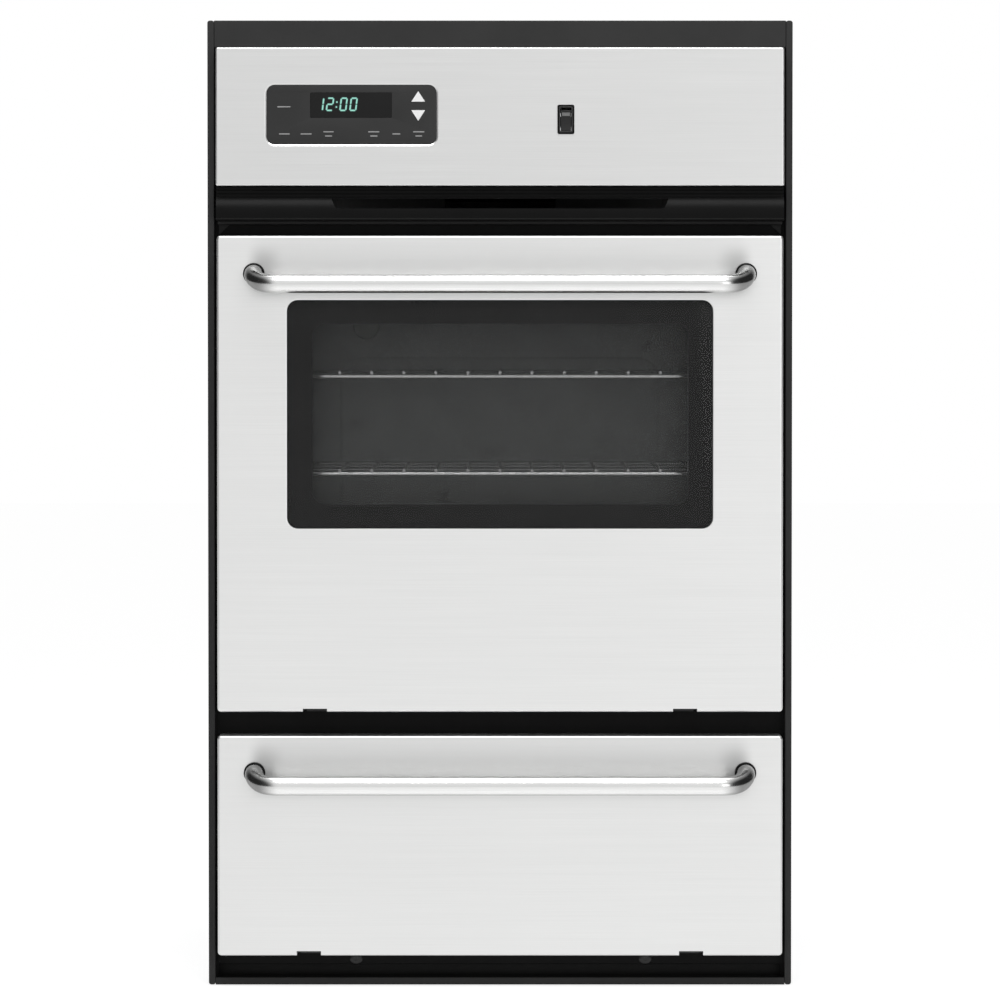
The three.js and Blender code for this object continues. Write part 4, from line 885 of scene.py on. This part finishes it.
def rocker_face(z):
    return -6.0 - 2.5 * (abs(z) / ROCKER_END) ** 1.7


def rocker_place(y, z):
    return (PIVOT_Y + y * math.cos(ROCKER_TILT) - z * math.sin(ROCKER_TILT),
            sz + y * math.sin(ROCKER_TILT) + z * math.cos(ROCKER_TILT))


def rocker_bar(profile, half, bevel):
    mesh = bar([rocker_place(y, z) for y, z in profile], sx - half, sx + half)
    settings = {"width": bevel * MM, "segments": 3, "limit_method": "ANGLE", "angle_limit": 0.7}
    return baked(mesh, ("BEVEL", settings))


face = [(rocker_face(z), z) for z in [ROCKER_END - 2 * ROCKER_END * i / 12 for i in range(13)]]
rocker = rocker_bar(face + [(-1.0, -10.2), (3.0, -4.0), (3.0, 4.0), (-1.0, 10.2)], 5.35, 0.45)
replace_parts(finish_mesh("light_rocker", rocker, "light_switch", "black_plastic", EXTRA["rocker"]),
            "switch_rocker")
# Painted highlight: a pale strip across the rocker's upper part
heights = [8.4 - 3.7 * i / 4 for i in range(5)]
highlight_strip = [(rocker_face(z) - 0.14, z) for z in heights]
highlight_strip += [(rocker_face(z) + 0.3, z) for z in reversed(heights)]
finish_mesh("rocker_highlight", rocker_bar(highlight_strip, 4.1, 0.05), "light_switch", "black_plastic",
            EXTRA["print_dark"])

# Vent trim: a strip with two grooves, a ledge, a rounded nose with the slot, and a lip below it
NOSE_Y, NOSE_R = -254.0, 24.0
NOSE_Z = VENT[2] + 7.0
STRIP_Y = -269.0
LEDGE_Z = VENT[3] - 10.7


def vent_profile():
    top = VENT[3]
    low = VENT[2]
    profile = [(FACE_Y - 0.3, top), (STRIP_Y + 0.8, top), (STRIP_Y + 0.2, top - 0.3), (STRIP_Y, top - 1.0)]
    for z in (top - 3.6, top - 7.2):
        for y, rise in ((STRIP_Y, 0.6), (STRIP_Y + 0.5, 0.2), (STRIP_Y + 0.5, -0.2), (STRIP_Y, -0.6)):
            profile.append((y, z + rise))
    start = math.asin((LEDGE_Z - NOSE_Z) / NOSE_R)
    profile += [(STRIP_Y, LEDGE_Z + 0.3), (STRIP_Y - 0.4, LEDGE_Z)]
    end = -math.asin((NOSE_Z - low - 2.4) / NOSE_R)
    for i in range(25):
        angle = start + (end - start) * i / 24
        profile.append((NOSE_Y - NOSE_R * math.cos(angle), NOSE_Z + NOSE_R * math.sin(angle)))
    profile += [(-278.0, low + 1.5), (-278.0, low + 0.6), (-277.3, low), (FACE_Y - 0.3, low)]
    return profile


profile = vent_profile()
n = len(profile)
points = [(x, y, z) for x in (-PANEL_HALF, PANEL_HALF) for y, z in profile]
faces = [(i, i + 1, n + i + 1, n + i) for i in range(n - 1)]
sheet = reworked(raw_mesh("vent", points, faces), face_out, face_front)
sheet = thickened(sheet, 1.4)
SLOT_TOP, SLOT_LOW = VENT[3] - 12.3, VENT[3] - 22.6
half_slot = [(174.0, SLOT_TOP), (173.2, SLOT_TOP - 2.5), (170.6, SLOT_LOW + 2.2), (169.2, SLOT_LOW + 0.6),
             (167.5, SLOT_LOW)]
slot_loop = [(-x, z) for x, z in half_slot] + list(reversed(half_slot))
sheet = cut_away(sheet, plate_mesh([slot_loop], -290.0, -262.0))
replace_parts(finish_mesh("vent_cover", sheet, "chassis", "black_plastic", EXTRA["vent_paint"]), "vent_trim")

# Rail and gussets in the gap under the vent
RAIL_TOP = VENT[2] - 0.3
RAIL_FRONT, RAIL_HEIGHT = -256.0, 3.3
rail = [(FACE_Y - 0.1, RAIL_TOP), (RAIL_FRONT + 0.4, RAIL_TOP), (RAIL_FRONT, RAIL_TOP - 0.4),
        (RAIL_FRONT, RAIL_TOP - RAIL_HEIGHT + 0.4), (RAIL_FRONT + 0.4, RAIL_TOP - RAIL_HEIGHT),
        (FACE_Y - 0.1, RAIL_TOP - RAIL_HEIGHT)]
finish_mesh("vent_rail", bar(rail, -PANEL_HALF + 1, PANEL_HALF - 1), "chassis", "frame_black",
            EXTRA["gap_grey"])
GUSSET_OUTER, GUSSET_INNER = 292.0, 281.0
GUSSET_TOP, GUSSET_LOW = RAIL_TOP - 3.4, RAIL_TOP - 14.0
gussets = []
for sign in (-1, 1):
    outer, inner = sign * GUSSET_OUTER, sign * GUSSET_INNER
    shape = [(outer, GUSSET_TOP), (inner, GUSSET_TOP), (outer, GUSSET_LOW)]
    gussets.append(plate_mesh([shape], -243.6, -242.6))
finish_mesh("vent_gussets", merged("gussets", gussets), "chassis", "frame_black", EXTRA["gap_grey"])


# Outer trims: channels with rounded edges
def channel(x0, x1, z0, z1, corner, edge):
    loops = rounded_front((x0, x1, z0, z1), corner, TRIM_FRONT, edge, 5, 4)
    loops.append(at_y(round_rect(x0, x1, z0, z1, corner, 5), FACE_Y - 0.1))
    return thickened(lofted("channel", loops, cap_first=True), 1.1)


for side, sign in (("left", -1), ("right", 1)):
    x0, x1 = sorted((sign * FACE_HALF, sign * TRIM_INNER))
    trim = channel(x0, x1, 0.0, FACE_HEIGHT, 2.6, 1.0)
    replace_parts(finish_mesh(f"side_rail_{side}", trim, "chassis", "trim_charcoal"), f"side_trim_{side}")
top = channel(*face_rect("top_trim"), 0.8, 1.0)
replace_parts(finish_mesh("top_rail", top, "chassis", "trim_charcoal"), "top_trim")

# Bottom trim with its lip, the toe plate, and the two frame screws
LIP_TOP = box_mm("bottom_trim")[1][2]
lip = block_mesh(-TRIM_INNER, TRIM_INNER, TRIM_FRONT, TRIM_FRONT + 1.2, 0.0, LIP_TOP, 0.45)
shelf = block_mesh(-TRIM_INNER, TRIM_INNER, TRIM_FRONT + 0.4, FACE_Y, 0.0, 1.2, 0.2)
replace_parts(finish_mesh("bottom_rail", merged("bottom", [lip, shelf]), "chassis", "trim_charcoal"),
            "bottom_trim")
TOE_LOW, TOE_TOP = 7.5, 19.8
toe = block_mesh(-TRIM_INNER + 3, TRIM_INNER - 3, FACE_Y - 0.9, FACE_Y, TOE_LOW, TOE_TOP, 0.3)
finish_mesh("toe_plate", toe, "chassis", "frame_black")
FRAME_SCREW_Z = 24.5
heads = merged("heads", [screw_mesh(x, FACE_Y, FRAME_SCREW_Z, -1, 6.5, 1.5) for x in (-150.0, 151.5)])
finish_mesh("frame_screws", heads, "chassis", "frame_black", EXTRA["screw_black"])


# Racks: a bent perimeter rod, cross rods and wires with domed ends
def closed_rod(path, radius, sides=14):
    points = [Vector(p) for p in path]
    loops = []
    n = len(points)
    up = Vector((0, 0, 1))
    for i, here in enumerate(points):
        tangent = (points[(i + 1) % n] - points[i - 1]).normalized()
        side = up.cross(tangent).normalized()
        loops.append(circle(here, side, up, radius, sides))
    return lofted("ring", loops, closed=True)


RACK_ROD, RACK_WIRE = 2.6, 1.7


def rack_mesh(z):
    front, rear, half = -218.5, 201.5, 219.0
    edge = [(x, y, z) for x, y in round_rect(-half, half, front, rear, 12, 8)]
    parts = [closed_rod(edge, RACK_ROD)]
    for share in (1 / 3, 2 / 3):
        y = front + (rear - front) * share
        parts.append(swept([(-half + 2, y, z + 0.6), (half - 2, y, z + 0.6)], 2.1, 14))
    wire_z = z + RACK_ROD + RACK_WIRE - 0.7
    for i in range(-6, 7):
        x = i * 33.5
        parts.append(swept([(x, front - 2.6, wire_z), (x, rear + 2.6, wire_z)], RACK_WIRE, 12, True))
    return merged("rack", parts)


RACK_CENTRE = 3.0
for name in ("lower_rack", "upper_rack"):
    z = box_mm(name)[0][2] + RACK_CENTRE
    wires = finish_mesh(f"{name}_wires", rack_mesh(z), name, "chrome_wire", EXTRA["rack_wire"], 60)
    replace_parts(wires, name)


# Rack guides: two uprights with six rails
RAIL_PITCH = (box_mm("upper_rack")[0][2] - box_mm("lower_rack")[0][2]) / 2
RAIL_LOW = box_mm("lower_rack")[0][2] + RACK_CENTRE - 4.9 - 2 * RAIL_PITCH


POST_X, POST_R = 225.7, 2.7
RAIL_X, RAIL_R = 221.4, 2.2


def guide_mesh(sign):
    low, high = box_mm("rack_guide_right")
    parts = []
    for y in (-178.5, 171.5):
        ends = [(sign * POST_X, y, low[2] + 1), (sign * POST_X, y, high[2] - 1)]
        parts.append(swept(ends, POST_R, 14, True))
    for level in range(6):
        z = RAIL_LOW + RAIL_PITCH * level
        parts.append(swept([(sign * RAIL_X, -190.0, z), (sign * RAIL_X, 183.0, z)], RAIL_R, 12, True))
    return merged("guide", parts)


for side, sign in (("left", -1), ("right", 1)):
    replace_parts(finish_mesh(f"rack_rails_{side}", guide_mesh(sign), "chassis", "chrome_wire", sharp=60),
                f"rack_guide_{side}")

# Pressed sheet panels of the cabinet: built facing -Y, with beads, slots and screws, then turned into place
BEAD = 1.2
SCREW_INSET = 12


def bead_mesh(rect, corner=7.0):
    """Raised bead with sloping sides on the plane Y = 0."""
    loops = []
    for margin, rise in ((0.0, 0.0), (-1.2, BEAD * 0.35), (-2.6, BEAD * 0.9), (-3.8, BEAD), (-4.3, BEAD)):
        loops.append(at_y(round_rect(*grown(rect, margin), max(corner + margin, 0.6), 6), -rise))
    return lofted("bead", loops, cap_last=True)


def pressed_panel(rect, beads=(), slots=(), screws=(), holes=()):
    """Sheet with slots as (x, z, length), screws as (x, z) and round holes as (x, z, radius)."""
    outline = [round_rect(*rect, 1.5, 3)]
    for x, z, length in slots:
        outline.append(round_rect(x - length / 2, x + length / 2, z - 2.5, z + 2.5, 2.4, 4))
    for x, z, radius in holes:
        outline.append([(x + radius * math.cos(math.pi * k / 16), z + radius * math.sin(math.pi * k / 16))
                        for k in range(32)])
    parts = [plate_mesh(outline, 0.0, 1.1, 0.15)]
    parts += [bead_mesh(bead) for bead in beads]
    for x, z, length in slots:
        hood = [(0.1, z + 4.4), (-0.5, z + 4.0), (-1.1, z + 2.6), (-1.15, z + 1.2), (-0.8, z + 1.2),
                (0.1, z + 3.4)]
        parts.append(bar(hood, x - length / 2 - 1, x + length / 2 + 1))
    heads = [screw_mesh(x, 0.05, z, -1, 3.9, 1.2) for x, z in screws]
    return merged("panel", parts), merged("heads", heads) if heads else None


def turned(mesh, matrix):
    mesh.transform(matrix)
    return mesh


def add_panel(name, node, placing, **features):
    sheet, heads = pressed_panel(**features)
    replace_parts(finish_mesh(name, turned(sheet, placing), "chassis", "galvanised"), node)
    if heads:
        finish_mesh(f"{name}_screws", turned(heads, placing), "chassis", "galvanised", EXTRA["screw_steel"])


def placed(x, y, z, turn, tilt=0.0):
    return (Matrix.Translation(Vector((x, y, z)) * MM) @ Matrix.Rotation(math.radians(turn), 4, "Z")
            @ Matrix.Rotation(math.radians(tilt), 4, "X"))


# Rear cover: its beads end flush with the cabinet's back
rear_rect = face_rect("rear_cover")
edge_x, edge_z = rear_rect[1] - SCREW_INSET, rear_rect[3] - SCREW_INSET
rear_screws = [(s * edge_x, z) for s in (-1, 1) for z in (14, 170, 326, 482, 638, 794, edge_z)]
rear_screws += [(x, edge_z) for x in (-130, 0, 130)] + [(x, 14) for x in (-130, 130)]
louvres = [(s * 120, 846 + 16 * i, 150) for s in (-1, 1) for i in range(6)]
rear_beads = [(s * 120 - 75, s * 120 + 75, z, z + 250) for s in (-1, 1) for z in (180, 500)]
GAS_Z = 80.0
add_panel("rear_sheet", "rear_cover", placed(0, SHELL_REAR - BEAD - 0.1, 0, 180), rect=rear_rect,
          beads=rear_beads, slots=louvres, screws=rear_screws, holes=[(0.0, GAS_Z, 13.0)])
ring = [(10.4, -2.6), (10.4, 0.9), (11.2, 1.3), (15.6, 1.3), (16.4, 0.7), (16.4, 0.0), (13.0, 0.0),
        (13.0, -1.0), (15.2, -1.2), (15.2, -2.6), (10.4, -2.6)]
finish_mesh("pipe_bush", spun(ring, (0, SHELL_REAR - BEAD - 0.1, GAS_Z), 40), "chassis", "galvanised",
            EXTRA["rubber"])

# Side panels: a wall and a front flange behind the face frame
side_low, side_high = box_mm("side_panel_right")
for side, sign in (("left", -1), ("right", 1)):
    depth = side_high[1] - side_low[1]
    rect = (-depth / 2, depth / 2, 0.0, SHELL_HEIGHT)
    beads = [(x - 80, x + 80, z, z + 330) for x in (-105, 105) for z in (120, 500)]
    slots = [(x, 885 + 14 * i, 140) for x in (-105, 105) for i in range(5)]
    heights = (30, 200, 370, 540, 710, 880, SHELL_HEIGHT - SCREW_INSET)
    screws = [(s * (depth / 2 - SCREW_INSET), z) for s in (-1, 1) for z in heights]
    placing = placed(sign * SHELL_HALF, (side_low[1] + side_high[1]) / 2, 0, 90 * sign)
    add_panel(f"side_sheet_{side}", f"side_panel_{side}", placing, rect=rect, beads=beads, slots=slots,
              screws=screws)
    x0, x1 = sorted((sign * (side_low[0] + 0.1), sign * SHELL_HALF))
    fold = block_mesh(x0, x1, side_low[1], side_low[1] + 1.1, 0.2, SHELL_HEIGHT - 0.2, 0.2)
    finish_mesh(f"side_fold_{side}", fold, "chassis", "galvanised")

# Top cover
top_low, top_high = box_mm("top_cover")
top_depth = top_high[1] - top_low[1]
top_rect = (top_low[0], top_high[0], -top_depth / 2, top_depth / 2)
beads = [(s * 130 - 95, s * 130 + 95, z, z + 190) for s in (-1, 1) for z in (-225, 35)]
screws = [(x, s * (top_depth / 2 - 10)) for s in (-1, 1) for x in (-250, -125, 0, 125, 250)]
add_panel("top_sheet", "top_cover", placed(0, (top_low[1] + top_high[1]) / 2, SHELL_HEIGHT, 0, -90),
          rect=top_rect, beads=beads, screws=screws)

# Frame round the door's inner glass, and its screws
glass_rect = face_rect("oven_door_inner_glass")
plug_rear = box_mm("oven_door_liner")[1][1]
FRAME_SHEET = 1.2
glass_frame = plate_mesh([round_rect(*grown(glass_rect, 9), 14, 8),
                          round_rect(*grown(glass_rect, -7), 9, 8)], plug_rear, plug_rear + FRAME_SHEET, 0.3)
finish_mesh("inner_glass_frame", glass_frame, "oven_door", "enamel", EXTRA["screw_steel"])
frame_screws = [(x, z) for x in (-195, -65, 65, 195) for z in (glass_rect[2] - 1, glass_rect[3] + 1)]
frame_screws += [(s * (glass_rect[1] + 1), (glass_rect[2] + glass_rect[3]) / 2) for s in (-1, 1)]
heads = merged("heads", [screw_mesh(x, plug_rear + FRAME_SHEET, z, 1, 3.4, 1.1) for x, z in frame_screws])
finish_mesh("inner_glass_screws", heads, "oven_door", "enamel", EXTRA["screw_steel"])

# Pressed field on the oven's rear wall
wall_y = box_mm("oven_liner")[1][1] - 1.2
field = turned(bead_mesh((-180, 180, 360, 650), 26.0), placed(0, wall_y, 0, 0))
finish_mesh("rear_wall_field", field, "chassis", "enamel")

# Oven lamp bulb
bulb_x, _, bulb_z = middle("lamp_bulb")
bulb_front, bulb_rear = box_mm("lamp_bulb")[0][1], box_mm("lamp_bulb")[1][1]
BULB = ((0.0, 0.0), (6.0, 1.0), (11.0, 4.4), (14.1, 10.0), (14.9, 15.4), (14.0, 21.0), (11.0, 26.3),
        (8.2, 29.6), (7.0, 33.0), (7.0, bulb_rear - bulb_front), (0.0, bulb_rear - bulb_front))
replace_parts(finish_mesh("lamp_globe", spun(BULB, (bulb_x, bulb_front, bulb_z), 36), "chassis",
                        "clear_glass", EXTRA["bulb_glass"], sharp=50), "lamp_bulb")

# Materials for the CAD nodes that stay
NODE_LOOKS = {"lamp_bulb": "bulb_glass", "lamp_holder": "enamel", "flue_duct": "flue_dark"}
for door in ("oven", "broiler"):
    for side in ("left", "right"):
        NODE_LOOKS[f"{door}_hinge_bracket_{side}"] = "lug_grey"
for row in frame["record"]["subparts"]:
    node = frame["nodes"][row["node"]]
    node.data.materials.clear()
    look = NODE_LOOKS.get(row["node"], row["material_slot"])
    node.data.materials.append(EXTRA.get(look) or LOOKS[look])

# Camera at the photo's height and distance, in metres
CAMERA_AWAY, CAMERA_HEIGHT = 6.0, 0.69
CAMERA_TILT = 1.85
cam_data = bpy.data.cameras.new("camera")
camera = linked("camera", cam_data)
scene.camera = camera
camera.location = (0.0, -CAMERA_AWAY, CAMERA_HEIGHT)
camera.rotation_euler = (math.radians(90 - CAMERA_TILT), 0, 0)
cam_data.lens = 199.265
cam_data.sensor_width = 36
cam_data.clip_end = 100


def seen_directly(tree):
    """1 for camera, glossy and transmission rays, 0 for light falling on surfaces."""
    path = added(tree, "LightPath")
    total = path.outputs["Is Camera Ray"]
    for name in ("Is Glossy Ray", "Is Transmission Ray"):
        total = computed(tree, "ADD", total, path.outputs[name], clamp=True)
    return total


# World: white where it is seen. Polished metal sees dim studio walls to both sides, and white elsewhere
WORLD_LIGHT = 0.62
world = bpy.data.worlds.new("studio")
scene.world = world
world.use_nodes = True
tree = world.node_tree
level = mapped(tree, seen_directly(tree), 0.0, 1.0, WORLD_LIGHT, 1.0)
where = added(tree, "TexCoord")
split = added(tree, "SeparateXYZ")
tree.links.new(where.outputs["Generated"], split.inputs[0])
wall = mapped(tree, computed(tree, "ABSOLUTE", split.outputs["X"]), 0.42, 0.7, 1.0, 0.06)
rays = added(tree, "LightPath")
only = added(tree, "MapRange", To_Min=1.0)
tree.links.new(rays.outputs["Is Glossy Ray"], only.inputs["Value"])
tree.links.new(wall, only.inputs["To Max"])
strength = computed(tree, "MULTIPLY", level, only.outputs["Result"])
background = tree.nodes["Background"]
tree.links.new(strength, background.inputs["Strength"])
background.inputs["Color"].default_value = (1, 1, 1, 1)


def area_light(name, place, target, size, power):
    data = bpy.data.lights.new(name, "AREA")
    data.shape = "RECTANGLE"
    data.size, data.size_y = size
    data.energy = power
    lamp = linked(name, data)
    lamp.location = place
    lamp.rotation_euler = (Vector(target) - Vector(place)).to_track_quat("-Z", "Y").to_euler()


area_light("overhead", (0.0, -1.3, 2.6), (0, -0.25, 0.6), (1.8, 1.0), 38)
area_light("fill", (1.8, -3.4, 1.2), (0, -0.2, 0.5), (1.4, 1.6), 9)

# Pale floor: it shows white with a soft shadow, and lights the object as a pale floor does
FLOOR_HALF, FLOOR_GAP = 15, 0.0005
FLOOR_GLOW = 0.73
floor_mesh = bpy.data.meshes.new("floor")
corners = [(x * FLOOR_HALF, y * FLOOR_HALF, 0) for x, y in ((-1, -1), (1, -1), (1, 1), (-1, 1))]
floor_mesh.from_pydata(corners, [], [(0, 1, 2, 3)])
floor = linked("floor", floor_mesh)
floor.location.z = -FLOOR_GAP
floor_look = new_material("floor", tone(0.88), 0.9, 0.0, 0.2)
tree = floor_look.node_tree
pale = added(tree, "BsdfDiffuse", Color=(0.42, 0.42, 0.42, 1))
white = added(tree, "Emission", Strength=FLOOR_GLOW)
both = added(tree, "AddShader")
tree.links.new(pale.outputs[0], both.inputs[0])
tree.links.new(white.outputs[0], both.inputs[1])
choice = added(tree, "MixShader")
tree.links.new(seen_directly(tree), choice.inputs["Fac"])
tree.links.new(shader_of(floor_look).outputs[0], choice.inputs[1])
tree.links.new(both.outputs[0], choice.inputs[2])
tree.links.new(choice.outputs[0], tree.nodes["Material Output"].inputs["Surface"])
floor_mesh.materials.append(floor_look)

scene.view_settings.view_transform = "Standard"
